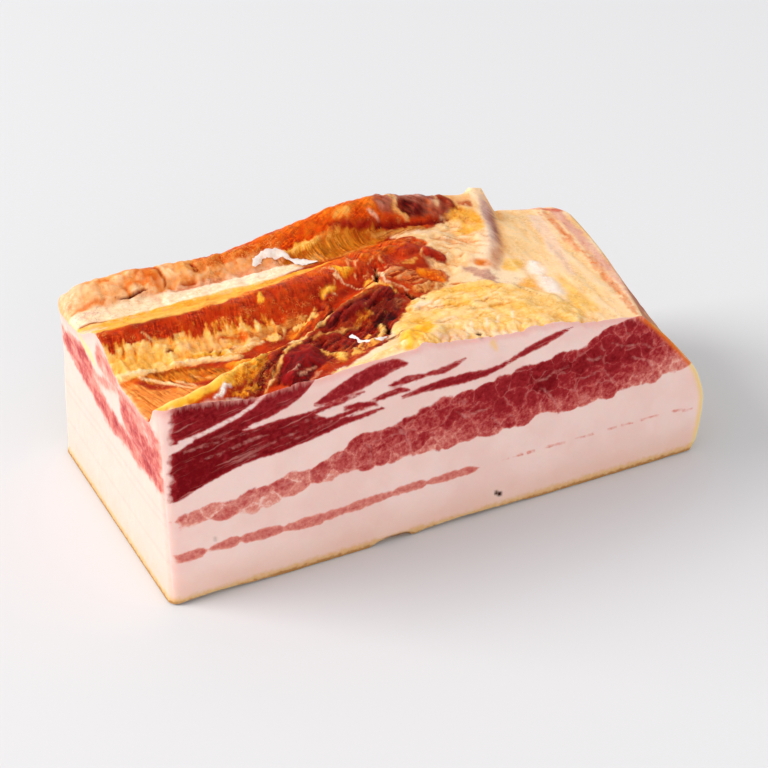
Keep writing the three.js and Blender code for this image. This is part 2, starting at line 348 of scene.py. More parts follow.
def lay_back_ridge(top):
    # Loaf-like lumps of smoked meat at the left.
    loaf = [(-96, 35, 16), (-60, 36, 17), (-43, 37, 14)]
    top.lay(loaf, "#EC9A56", "#F2B682", (25, 4, 2.5), soft=1.6, bumps=(2.6, 0.6), wet=0.4, fleck=0.1)
    top.heap(loaf, 10, 1.0, 0.4)
    top.heap(loaf, 4, 0.3, 0.3)
    top.lay([(-97, 35, 17), (-91, 34, 12)], "#ECA474", "#F2C29C", (0, 6, 4), soft=6, cover=0.9)
    top.lay([(-87, 38.5, 4), (-70, 39.5, 6)], "#E88B42", TAN, (10, 6, 3), soft=3, cover=0.8)
    top.lay([(-86, 31, 5), (-76, 31.5, 6)], "#F4BC88", "#EEA768", (30, 4, 3), soft=3, cover=0.7)
    top.lay([(-69, 39.5, 5), (-64, 37.5, 8), (-64.6, 32.6, 5)], "#CC5618", ORANGE, (70, 6, 3), soft=3,
            cover=0.9)
    top.lay([(-58, 30.6, 4), (-52, 31.4, 6)], "#E28A46", "#EDA668", (60, 5, 3), soft=1.4, rise=0.8, swell=3)
    # Painted highlights along two light ridges right of the cleft.
    top.lay([(-60, 37.5, 1.2), (-59.4, 32, 1.4)], "#F4C48E", soft=1, rise=0.5)
    top.lay([(-58.8, 34, 0.8), (-56.4, 29.6, 1.1)], "#F5C893", soft=0.9, rise=0.4)
    top.lay([(-52, 35, 8), (-44, 35, 9)], "#DE7E38", "#EDA257", (40, 4, 2.2), soft=2, bumps=(4, 0.9),
            fleck=0.4)
    # Its red-brown height to the right, flecked with tan along its foot.
    red = [(-48, 41.5, 7), (-38, 39, 11), (-20, 38, 14), (0, 38, 14), (20, 37, 13), (34, 36, 9)]
    top.lay(red, "#E2601C", "#BE3C0C", (20, 6, 3), soft=2, bumps=(3.4, 0.6), wet=0.7, fleck=0.25,
            grain=(20, 0.5))
    top.lay([(-49, 33.4, 5), (-36, 33.6, 5), (-24, 33.4, 4)], "#D67230", "#B9481A", (20, 3, 2), soft=2,
            cover=0.85, bumps=(2.4, 0.6), wet=0.5, fleck=0.8)
    top.lay([(-36, 38.5, 4), (-16, 38, 5), (4, 38, 6), (14, 37, 7)], "#F0782E", RUST, (15, 6, 2.5), soft=4,
            cover=0.7)
    top.lay([(-46, 38, 6), (-34, 37, 8), (-24, 36.6, 6)], "#BE400C", "#D4581A", (30, 5, 2), soft=4,
            cover=0.75)
    for x, y, long in ((-20, 39.4, 3), (-12, 35.4, 3), (-5, 40, 3), (4, 36, 3), (11, 39.6, 3),
            (14, 33.6, 2)):
        top.lay([(x - long, y - 0.6, 1.2), (x + long, y + 0.4, 2.6)], "#AC340A", "#C84A10", (30, 4, 1.4),
                soft=2.4, ragged=1.3, cover=0.7)
    # A painted highlight: a yellowish spot on the height.
    top.lay([(-1, 33.6, 2.2), (2, 34.8, 2.2)], "#F0A24A", ORANGE, (40, 4, 2), soft=1.4)
    top.lay([(-4, 32.4, 1.4), (5, 31.2, 2.2), (10, 30.4, 2)], "#8E1E08", MAHOGANY, (10, 5, 1.5), soft=1.4)
    # A painted highlight: a pale pink streak.
    top.lay([(10.4, 33.2, 0.8), (12, 31.2, 1.4), (12.6, 30, 0.6)], "#EFBE9E", soft=1.2, ragged=1.3,
            cover=0.8, rise=0.3)
    # Rough torn strip along its foot.
    top.lay([(-61, 29.4, 4), (-42, 29.4, 5), (-24, 29.4, 5)], "#E2A573", TAN, (30, 3, 1.8),
            bumps=(2.2, 0.7), wet=0.3, fleck=0.2)
    top.lay([(-60, 27.4, 1.4), (-40, 27.2, 2), (-25, 27.8, 1.6)], "#D88A62", "#E9B48E", (10, 4, 1.2),
            bumps=(1.6, 0.4))
    # Crack along its foot, its left end only a thin line of painted shade, and clefts across it.
    top.lay([(-91, 27.6, 0.7), (-84, 28.4, 1.0), (-80, 28.4, 0.5)], "#E07C42", soft=1, cover=0.9, rise=-0.5)
    top.lay([(-77.5, 28.2, 0.4), (-74, 27.8, 0.6), (-71.2, 28.3, 1.2), (-68.4, 28.6, 0.9),
            (-67, 28.4, 0.4)], "#8A2408", "#5A1206", (0, 3, 2), soft=0.7, ragged=0.6, rise=-1.2, swell=0.8)
    top.lay([(-61.9, 40, 0.5), (-61.4, 35, 0.8), (-60.9, 31.6, 0.9), (-61.8, 28.6, 0.5)], "#B4501A",
            soft=0.9, ragged=0.6, rise=-1.0)
    # Painted shadow under the lump at the foot.
    top.lay([(-57.6, 28.2, 0.7), (-52, 28.4, 1.0)], "#C4622C", soft=0.9, ragged=0.5, rise=-0.6)
    top.lay([(-50.9, 35, 1.0), (-50.1, 32.4, 1.6)], "#A8380C", soft=1, ragged=0.5, rise=-1.0)
    # Purple-brown dried meat at its right end, with patches of fat.
    top.lay([(17, 36, 9), (26, 35.4, 10), (36, 34, 8)], "#98422E", PLUM, (-30, 6, 3), soft=1.6,
            bumps=(3, 0.7), wet=0.65, fleck=0.05, grain=(-30, 0.7))
    top.lay([(24, 38.8, 3), (32, 38.2, 3.4)], "#B98478", "#A05A48", (20, 5, 1.4), soft=2, cover=0.9)
    top.lay([(22.5, 33, 4), (28, 32.4, 4)], "#4E0D07", DARK, (20, 4, 2), soft=1.6)
    top.lay([(38, 37, 3), (40.6, 33.4, 3.4)], "#8E2C16", DARK, (70, 4, 2), soft=1.2, rise=0.5)
    top.lay([(17.6, 38, 0.5), (20.6, 35, 0.8), (19.2, 31.8, 0.8), (21.6, 30.8, 1.8)], "#DE8A42", "#ECAE6C",
            (60, 3, 1), soft=0.9, ragged=1.3, rise=0.4)
    top.lay([(35.2, 38.6, 0.6), (36.2, 35, 1.1), (34.8, 33, 0.6)], "#DE9E68", soft=0.9, ragged=1.2,
            rise=0.3)
    top.lay([(11, 29.2, 1.4), (20, 28.6, 2), (30, 28.4, 1.6), (37, 29.2, 1.2)], "#7A1A0A", MAHOGANY,
            (0, 5, 1.5), soft=1.2, rise=-0.8)


def lay_back_hollow(top):
    top.lay([(-96, 22.5, 13), (-74, 22, 12), (-62, 22.5, 10)], PALE_PINK, CREAM, (10, 14, 3), soft=3,
            ragged=0.6, specks=0.05, bumps=(4, 0.3))
    top.lay([(-66, 25.5, 1.6), (-64, 23, 2.4), (-62, 20.5, 1.2)], "#EFB492", soft=2, cover=0.8, rise=0.4)
    top.lay([(-61, 22.2, 8), (-36, 22.4, 8.6), (-21, 23.8, 6)], "#FAE6CE", "#F6D6B0", (3, 18, 1.8),
            soft=1.4, ragged=0.5, specks=0.05, rise=0.5, wet=0.3)
    # Hollow of bare meat, where the fibres show, under a rim of fat.
    top.lay([(-24, 28, 3), (-13, 26.5, 8), (0, 26.6, 9), (10, 27, 6)], OLIVE, BROWN, (100, 9, 1.3),
            soft=1.2, ridged=0.4, wet=0.45, grain=(100, 1.0))
    top.lay([(-18, 25.6, 3), (-13, 25, 4)], "#DDA05C", OLIVE, (30, 5, 1.5), soft=2, cover=0.8)
    top.lay([(-12, 28.5, 3), (0, 29, 4)], "#D98E34", OLIVE, (100, 9, 1.0), soft=2, cover=0.7)
    top.lay([(-20, 23.4, 1.6), (-8, 22.2, 2.2), (6, 22.4, 2)], "#E29648", BROWN, (10, 6, 1.5), soft=1.5,
            cover=0.85)
    top.lay([(-23, 29.6, 1), (-17, 30.2, 1.8), (-10, 31, 2.2), (-4, 31.8, 2), (3, 32, 1.8), (7, 31.4, 0.8)],
            "#F2B860", AMBER, (40, 3, 1.2), soft=0.8, rise=0.7, fringe=1.0)
    top.lay([(9, 26.6, 2), (16, 26, 3), (26, 26, 2.4)], "#D99A50", BROWN, (10, 6, 1.0), soft=1, rise=0.3,
            grain=(10, 0.6))
    top.lay([(16, 23, 4), (27, 22, 5)], "#EBB684", CREAM, (20, 6, 2), soft=2)


def lay_middle_ridge(top):
    # Amber fat over its crest and down its back.
    top.lay([(-90, 9.5, 19), (-70, 9.5, 20), (-45, 10.5, 19), (-28, 13, 13), (-14, 17, 5)], GOLD, AMBER,
            (8, 18, 2.4), soft=1.2, ragged=0.35, wet=0.35)
    top.lay([(-97, 10, 14), (-90, 11, 8), (-86, 12, 3)], CREAM, PALE_PINK, soft=4, cover=0.9)
    top.lay([(-92, 18.8, 0.6), (-87, 18.6, 1.1), (-84, 18.6, 0.5)], "#9A4420", soft=0.8, ragged=0.3,
            rise=-0.3)
    # Its red-brown front slope and body.
    slope = [(-95, -5.8, 7), (-80, -6, 7.4), (-66, -5.6, 9), (-50, -3.8, 11), (-36, 0, 14.5),
            (-20, 4.6, 17), (-6, 9, 17), (6, 13, 13), (14, 15, 8)]
    top.lay(slope, "#C23C07", "#9A2605", (75, 5, 2.6), soft=1.0, ragged=0.6, fringe=0.8, bumps=(3.2, 0.45),
            wet=0.65, fleck=0.22, grain=(78, 0.6))
    for x, y, long in ((-52, -1, 3), (-43, 1.6, 4), (-36, -1.6, 3), (-29, 4, 4), (-22, 1, 3), (-13, 9, 4),
            (-3, 6, 3)):
        top.lay([(x - long, y - long / 3, 2.4), (x + long, y + long / 3, 3.4)], "#A03006", "#C2460C",
                (60, 4, 1.2), soft=3, ragged=1.3, cover=0.6)
    # Lighter orange flecks on the crest: painted highlights.
    for x, y, long in ((-60, 0.4, 3), (-47, 3.4, 2), (-38, 4.6, 3), (-25, 8, 3), (-17, 8.4, 2), (-7, 14, 3),
            (1, 10, 2)):
        top.lay([(x - long, y - long / 4, 1), (x + long, y + long / 4, 1.6)], "#EE8636", "#DE6A1E",
                (40, 3, 0.9), soft=1.8, ragged=1.3, cover=0.7)
    top.lay([(-46, 3.6, 2.4), (-30, 7.4, 3.4), (-14, 14, 4), (2, 18.4, 4), (9, 19.6, 3)], "#E8782E",
            "#D8601E", (25, 5, 1.6), soft=2.4, cover=0.8, fleck=0.2)
    top.lay([(-22, 6, 6), (-6, 11, 7), (6, 14.5, 6)], "#E4661F", "#C2420E", (30, 4, 1.4), soft=4,
            cover=0.75, fleck=0.3)
    top.lay([(-36, -5, 6), (-27, -3.4, 7), (-20, 0, 5)], "#8E1E08", MAHOGANY, (65, 5, 2.4), soft=3,
            cover=0.85, wet=0.75)
    top.lay([(-60, -6.6, 4), (-50, -6.4, 6), (-40, -6.4, 8), (-31, -5, 6)], "#A83408", RUST, (40, 4, 1.4),
            soft=3, cover=0.7, fleck=0.42)
    top.lay([(-80.8, -4, 0.4), (-78.2, -8.6, 0.7)], "#F0B070", soft=0.6, ragged=0.3, rise=0.2)
    top.lay([(-43.4, -1.8, 2.2), (-42.4, 0.6, 1.0)], "#F0A23C", AMBER, (60, 3, 1), soft=0.8, fringe=1.0,
            rise=0.3)
    # Amber lumps and pale edges near its right end.
    top.lay([(-15.6, 5.4, 1.6), (-14.6, 3, 3.4), (-12.4, 3.6, 2.4)], "#F4A834", "#EA8A2A", (60, 4, 2),
            soft=2.2, specks=0.1, rise=0.5)
    top.lay([(-16.8, 6.2, 0.5), (-17.4, 2.2, 0.7), (-15, -1.8, 0.5), (-11, -5.2, 0.4)], "#F4CDA0",
            "#E8A466", (60, 2, 0.8), soft=0.6, ragged=1.3, rise=0.3)
    top.lay([(-23.8, -3.8, 1.8), (-21.4, -2.6, 2.8), (-19.4, -2.2, 1.2)], "#F6B444", "#EC9632", (30, 4, 2),
            soft=2, specks=0.1, rise=0.5)
    top.lay([(-23.6, -4.6, 0.5), (-20.4, -4.8, 0.9)], "#F6D49E", soft=0.9, ragged=1.2, rise=0.2)


def lay_front_trough(top):
    trough = [(-96, -12.4, 8.6), (-76, -12.4, 8), (-58, -12, 8), (-44, -11.6, 5)]
    top.lay([(x, y + 0.4, width) for x, y, width in trough], "#EDA24A", "#E2862E", (84, 5, 0.9), soft=1.2,
            ragged=1.0, fringe=5.0, cover=0.8, ridged=0.3)
    top.lay(trough, "#F2A848", "#F8C67A", (84, 4, 1.6), soft=1.0, ragged=0.9, fringe=3.0, bumps=(2.0, 0.7),
            wet=0.4, fleck=0.0, grain=(0, 0.0))
    top.heap(trough, 3.4, 0.25, 0.2)
    top.lay([(-94, -12.6, 3), (-84, -12.4, 4), (-78, -11, 2)], "#F3B84C", YELLOW_TAN, (20, 4, 1.5), soft=2,
            cover=0.7)
    top.lay([(-70, -11.4, 4), (-60, -11.8, 4)], "#F0B27C", YELLOW_TAN, (20, 4, 2), soft=2, cover=0.8,
            bumps=(1.8, 0.4))
    for x, y in ((-75.4, -11.8), (-63.8, -13.8), (-62.2, -15.2)):
        top.lay([(x - 0.6, y - 0.3, 0.6), (x + 0.6, y + 0.4, 0.9)], "#92300C", soft=0.8, ragged=0.9,
                rise=-0.6, swell=0.6)
    top.lay([(-60, -11, 1), (-53, -11.8, 2.4), (-46, -12.4, 1.4)], "#B9481A", ORANGE, (10, 5, 1.2), soft=1,
            fleck=0.6)
    top.lay([(-57, -15, 1.2), (-51, -14, 1.6), (-45, -12.8, 0.7)], "#F0BC86", "#E39A56", (10, 4, 0.9),
            soft=0.9, ragged=1.1, fringe=0.8, rise=0.3)
    top.lay([(-50, -12.4, 1.4), (-44, -11.6, 2.4), (-38, -10.6, 2.4), (-33, -9, 1.4)], "#DC9048", "#BC581F",
            (25, 4, 0.9), soft=1, ragged=1.2, bumps=(2, 0.6), fleck=0.5)


def lay_front_ridge(top):
    # Two facets of smoked lean in front of the trough, with the grain of the meat across them.
    top.lay([(-95, -23, 13), (-92, -31, 16), (-85, -34, 14), (-78, -33, 10)], "#F09650", "#DE7A34",
            (103, 9, 0.9), soft=1.0, ragged=0.4, ridged=0.25, wet=0.45, fleck=0.06, grain=(103, 0.9))
    top.lay([(-93, -19, 2), (-86, -18.6, 2.6)], "#D9702A", soft=2, cover=0.7)
    top.lay([(-84, -20, 5), (-75, -23, 9.5), (-66, -26, 6)], "#B05010", "#DC8630", (97, 7, 1.0), soft=0.9,
            ragged=0.4, ridged=0.4, wet=0.45, fleck=0.06, grain=(97, 1.0))
    top.lay([(-84, -18.2, 1.2), (-76, -18.8, 1.8), (-67, -21, 1.6)], "#8E3A0E", BROWN, (-10, 5, 1), soft=1,
            cover=0.9)
    # Painted shadow at the right end of the second facet.
    top.lay([(-70, -24, 2.6), (-65.4, -23.4, 2)], "#7A300E", BROWN, (-40, 4, 1.4), soft=1.6, cover=0.8)
    top.lay([(-87, -18.4, 1), (-84, -21, 1.3), (-79.6, -26.6, 1.3), (-76, -30.4, 0.9)], "#F3C48C", soft=0.7,
            ragged=0.4, rise=0.6)
    top.lay([(-78.6, -24.4, 0.5), (-74.6, -29.4, 0.9)], "#F2BE86", soft=0.7, rise=0.4)
    top.lay([(-74.4, -22.4, 0.4), (-70, -27.6, 0.7)], "#EBA866", soft=0.7, rise=0.3)
    # Cream bands between trough and facets.
    top.lay([(-95, -16.4, 3), (-86, -16.6, 3), (-82, -16.4, 1.6)], "#F6D09A", GOLD, (-10, 9, 1), soft=0.8,
            ragged=0.5, rise=0.8)
    top.lay([(-80, -16, 1.2), (-74, -16.4, 2.6), (-66, -17.6, 3), (-58, -19.6, 2.4)], "#F6CE98", "#EFAE5C",
            (-15, 8, 1), soft=0.8, ragged=0.5, rise=0.8)
    top.lay([(-70, -14.8, 0.8), (-62, -15.8, 1.2), (-54, -17.4, 0.7)], "#E8A02E", soft=0.7, ragged=0.4)
    top.lay([(-62, -17.4, 2), (-55, -16.4, 2.6), (-49, -15.6, 1.4)], "#F5CC9A", YELLOW_TAN, (10, 5, 1),
            soft=0.8, rise=0.5)
    # The crest: a smooth amber rim of fat.
    crest = [(-95, -46.5, 8), (-86, -44.5, 8), (-76, -41, 8), (-68, -37.5, 7), (-61, -33, 5), (-57, -29, 3)]
    top.lay(crest, "#F2B440", "#ECA030", (24, 12, 2), soft=0.9, ragged=0.3, wet=0.5, fleck=0.0,
            grain=(0, 0.0))
    top.lay([(-91, -45.6, 2.4), (-80, -43, 3), (-68, -38, 2.6)], "#F6C866", soft=2.4, ragged=0.6, cover=0.8)
    top.lay([(-95, -48.2, 1.4), (-86, -48.4, 1.0), (-66, -48.4, 1.0)], "#F6D8BC", WHITE, (0, 3, 2), soft=1,
            cover=0.6)
    # White smear of fat below it.
    top.lay([(-76, -47.4, 0.7), (-73.6, -46, 1.1), (-71.2, -44.2, 1.2), (-69.4, -43.2, 0.6)], "#FBEDE4",
            WHITE, (30, 2, 1), soft=0.8, ragged=1.2, rise=0.4, bumps=(1.6, 0.4))


def lay_meat_strips(top):
    # Dark wet meat under everything here.
    ground = [(-64, -44.4, 6), (-54, -38, 15), (-40, -32, 20), (-26, -26, 22), (-13, -18, 14), (-4, -12, 8)]
    top.lay(ground, "#7C1409", "#A22E0E", (38, 6, 1.0), soft=1.4, specks=0.1, ridged=0.6, bumps=(2.6, 0.4),
            wet=0.7, fleck=0.22, grain=(35, 1.0))
    # Orange lump and rough amber meat where the crest leaves the front cut.
    top.lay([(-61, -23.4, 5), (-55, -26.4, 8), (-49, -25, 6)], "#EC8128", "#D9621A", (35, 5, 1.6), soft=1.2,
            specks=0.2, rise=1.4, swell=3.5, smooth=15, bumps=(2.4, 0.4), wet=0.45, fleck=0.1,
            grain=(35, 0.3))
    top.lay([(-60.6, -24.6, 2.4), (-56, -23.4, 2.6)], "#F2A03C", "#E47A26", (35, 4, 1.2), soft=1.6,
            cover=0.85)
    top.lay([(-62, -29.4, 2.6), (-55, -28.4, 2.4), (-50.6, -28.6, 1.2)], "#F4AE40", "#E58A2E", (15, 3, 1),
            soft=0.9, ragged=1.2, fringe=1.0, rise=0.4)
    top.lay([(-69, -42, 4), (-61, -36.8, 5.4), (-56, -33.4, 3.6)], "#CE661C", "#F2AA3C", (45, 2.4, 1.1),
            soft=0.9, ragged=1.2, fringe=1.6, bumps=(1.8, 1.0), wet=0.65, fleck=0.3)
    top.lay([(-66.4, -37.4, 1.6), (-61, -33.8, 2.2)], "#F4B440", GOLD, (40, 3, 1), soft=0.9, ragged=1.2,
            rise=0.4)
    top.lay([(-49.4, -22.4, 4), (-44.6, -22.4, 5.6), (-41.4, -23.4, 3)], "#8E1C08", "#B23C10", (40, 4, 1.4),
            soft=1.2, specks=0.15, bumps=(2.2, 0.7), wet=0.75, fleck=0.15, grain=(40, 0.8))
    # Dark torn meat between the crest and the oval lump, with scraps of amber fat.
    top.lay([(-66, -45.6, 3), (-60, -42.6, 6), (-55, -38.6, 5), (-54, -46, 5)], "#6E1007", "#A0300C",
            (55, 4, 1.0), soft=1.0, specks=0.15, ridged=0.6, bumps=(2, 0.5), wet=0.7, fleck=0.4,
            grain=(50, 0.9))
    for x, y, width in ((-68, -45.6, 1.8), (-64.4, -44.8, 1.6), (-62.4, -39.6, 1.4), (-58.6, -36.6, 1.5),
            (-57.4, -40.8, 0.9)):
        top.lay([(x - 1.2, y - 0.7, width), (x + 1.2, y + 0.8, 0.6 * width)], "#EE9C30", "#D86C1E",
                (50, 2, 0.8), soft=0.8, ragged=1.4, fringe=1.2, rise=0.5)
    # A big dark oval lump at the front cut.
    top.lay([(-52.4, -44.4, 8), (-46.4, -37.6, 13), (-42, -33, 8.6)], "#8E0C02", "#5E0602", (50, 7, 1.6),
            soft=0.8, specks=0.0, rise=2.8, swell=5.5, smooth=25, wet=0.42, fleck=0.0, grain=(50, 0.3))
    top.lay([(-46.6, -34, 4.6), (-41.8, -32.4, 4.6)], "#A62E0F", "#80150A", (45, 4, 1.4), soft=3,
            cover=0.75)
    # Frayed fibres on its foot, and a thread of membrane up its left side.
    for x, y, width in ((-49.6, -45, 0.7), (-46.4, -43.8, 0.9), (-45, -45.4, 1.1), (-51.6, -43.4, 0.5),
            (-47.6, -46.6, 0.7)):
        top.lay([(x - 1.8, y - 0.4, 0.3), (x, y, width), (x + 1.6, y + 0.7, 0.3)], "#EBAC8C", "#D27C56",
                (20, 2, 0.7), soft=0.6, ragged=1.4, cover=0.8, rise=0.1)
    top.lay([(-62.4, -48, 0.4), (-60.6, -45.6, 0.35), (-58.4, -43.4, 0.4), (-56.2, -40.6, 0.8),
            (-54, -38.4, 0.4), (-52, -36, 1.0), (-50.4, -33.6, 0.5), (-48.6, -31.4, 0.4)], "#F0A24A",
            "#F6C27C", (40, 2, 0.8), soft=0.8, ragged=0.7, fringe=0.3, specks=0.1, cover=0.9)
    # Amber rim to the right of it, with a pale frayed foot at the cut.
    top.lay([(-49, -31.6, 0.6), (-46, -29.4, 1.1), (-42.2, -28.4, 1.2), (-39, -30.2, 1.3),
            (-37.6, -33.6, 1.8)], "#F0A244", "#F6C070", (30, 2, 0.8), soft=0.8, ragged=0.7, fringe=0.3,
            rise=0.2, swell=1)
    top.lay([(-37.2, -35.4, 2.4), (-35.4, -38.6, 3.6), (-36.4, -41.6, 3)], "#EFAE54", "#E39640", (50, 4, 2),
            soft=1.6, ragged=0.8, rise=0.9, swell=2.4, smooth=8)
    top.lay([(-41.6, -45.4, 0.8), (-39, -46.8, 1.6), (-36, -47.8, 1.2)], "#DBAE8E", "#F3DCC8", (60, 2, 0.6),
            soft=0.8, ragged=1.4, fringe=1.2, cover=0.85)
    # Where the seams meet.
    top.lay([(-45.6, -27.6, 1.0), (-43, -26.6, 2.6), (-40.4, -25.2, 1.8)], "#E8A85C", "#F2C888",
            (30, 3, 1.4), soft=1.2, ragged=0.8, fringe=0.4, rise=0.5)
    # Dark strips of meat that run up to the right.
    top.lay([(-40, -29, 5), (-31, -28, 9), (-22, -26, 8)], "#760C06", "#9C280C", (30, 6, 0.9), soft=1.2,
            specks=0.08, bumps=(2.4, 0.4), ridged=0.6, wet=0.7, fleck=0.2, grain=(32, 1.0))
    top.lay([(-34.6, -21.6, 2.4), (-28, -17.6, 5.4), (-18, -13.6, 6.4), (-9.4, -10.4, 4.8),
            (-4.4, -9.6, 3)], "#620703", "#841A08", (33, 8, 0.9), soft=0.8, specks=0.05, rise=0.9,
            swell=2.2, ridged=0.6, wet=0.65, fleck=0.0, grain=(35, 1.0))
    top.lay([(-27, -15.4, 1.6), (-18, -10.8, 2.2), (-9, -7.8, 2.4)], "#CC6622", "#8A220A", (33, 6, 0.8),
            soft=2.4, cover=0.7)
    top.lay([(-39, -16.8, 3.4), (-32.6, -13.2, 5), (-25.4, -9, 4.2)], "#CC4C10", "#8E200A", (35, 5, 1.0),
            soft=1.0, specks=0.15, rise=0.9, swell=2.4, ridged=0.5, bumps=(2, 0.4), wet=0.7, fleck=0.2,
            grain=(38, 0.8))
    top.lay([(-40.4, -16.4, 2.2), (-36.8, -13.8, 2.6)], "#EC8E30", "#DC6A20", (35, 3, 1), soft=1.6,
            cover=0.9)
    top.lay([(-37.4, -13.8, 1.0), (-33, -10.8, 1.6), (-28.6, -7.4, 1.0)], "#EE9E3A", "#F6C878",
            (50, 2.4, 0.8), soft=0.7, ragged=1.4, fringe=1.6, rise=0.4)
    top.lay([(-28, -8.8, 3), (-22, -5.4, 3.4)], "#8A1A08", "#B43C10", (35, 3, 1.1), soft=1.2, specks=0.15,
            rise=0.4, bumps=(1.8, 0.8), wet=0.7, fleck=0.25)
    top.lay([(-34, -17.8, 1.0), (-28.4, -14.2, 1.9), (-24, -10.4, 1.0)], "#430905", soft=0.9, ragged=0.7,
            specks=0, rise=-0.8)
    top.lay([(-14.4, -18.4, 5), (-9.6, -16.8, 6.4), (-5, -14, 4)], "#822010", "#560C06", (35, 5, 1.0),
            soft=0.9, specks=0.1, rise=0.5, swell=2, ridged=0.45, wet=0.65, grain=(40, 1.0))
    top.lay([(-5.6, -15.6, 2.4), (-2.6, -13.4, 2.4)], "#B4623C", "#7E2A16", (30, 4, 0.8), soft=0.9,
            grain=(30, 0.9))
    top.lay([(-14.6, -22.6, 4), (-10.6, -20.4, 4.4)], "#560B06", BLACKENED, (30, 5, 1.4), soft=1.1,
            specks=0.1, wet=0.6)
    # Seams of amber fat between the strips.
    top.lay([(-41, -25.6, 0.8), (-36, -22.6, 0.5), (-32.6, -20.4, 0.9), (-30.6, -18, 1.3),
            (-26, -14.6, 0.4), (-19.4, -10.8, 0.5), (-12.6, -7.6, 0.9), (-8.4, -6.2, 1.8), (-4, -7.2, 1.2),
            (-2.2, -10, 0.5)], "#EC9638", "#F6BC68", (40, 2, 0.8), soft=0.8, ragged=0.8, fringe=0.5,
            cover=0.95)
    top.lay([(-38, -25.8, 0.5), (-31.6, -24.2, 0.7), (-27, -22.8, 1.0), (-22, -21.4, 0.8), (-20, -21, 0.4)],
            "#DE8840", "#F0AE60", (30, 3, 0.8), soft=0.8, ragged=0.8, fringe=0.4, cover=0.9)
    top.lay([(-20.4, -20.2, 1.8), (-17.4, -18.2, 2.6), (-15.6, -15.8, 0.9)], "#E28A34", "#B8541C",
            (35, 2.4, 0.9), soft=0.9, ragged=1.4, fringe=1.2, rise=0.2)
    # Rough lumps along the front cut, and its lip of fat.
    top.lay([(-34, -35.4, 4), (-29, -37, 6), (-23, -37, 4)], "#8A1C0A", "#BC4A12", (62, 3, 0.9), soft=1.2,
            specks=0.2, bumps=(2, 0.9), wet=0.65, fleck=0.4, grain=(65, 0.9))
    top.lay([(-31.4, -40.4, 1.5), (-29.4, -37.4, 1.5), (-28, -34.8, 0.7)], "#E08A30", "#F0B45A",
            (70, 2, 0.7), soft=0.7, ragged=1.4, fringe=1.2, rise=0.5)
    top.lay([(-26.4, -39, 1.8), (-24.2, -36.4, 2.2), (-22.6, -33.4, 1)], "#D9742A", "#F0A248",
            (70, 2.4, 0.9), soft=0.8, ragged=1.3, fringe=1.0, rise=0.5)
    top.lay([(-23.8, -31.4, 1.6), (-22, -28.8, 2.0)], "#DC6E24", "#EFA44C", (60, 2, 0.9), soft=0.8,
            ragged=1.2, rise=0.7)
    top.lay([(-20.6, -33, 1.4), (-17.6, -29.6, 2.4), (-15.6, -25.4, 2.0), (-14.8, -22.8, 0.9)], "#EBA044",
            "#F2BC6A", (70, 4, 1.6), soft=1.2, ragged=0.7, rise=0.7)
    top.lay([(-17.6, -33, 1.4), (-15.0, -28.6, 1.6), (-13.6, -24.4, 1.0)], "#4A0E06", soft=0.8, ragged=0.6,
            specks=0, rise=-1.1)
    top.lay([(-25, -40, 1.4), (-18.6, -37.6, 2.0), (-14.4, -35.6, 1.0)], "#5E0D06", MAHOGANY, (20, 3, 1),
            soft=0.9, specks=0.1, rise=-0.6)
    top.lay([(-21, -38.8, 0.4), (-17, -36.8, 0.9), (-14.6, -36, 0.4)], "#F0BE7E", soft=0.6, ragged=1.0,
            rise=0.4)
    top.lay([(-42, -48, 1.6), (-30, -47, 2.6), (-20, -44.6, 3.2)], "#F0BC74", "#F6D6A4", (5, 6, 1.0),
            soft=0.8, rise=0.5)


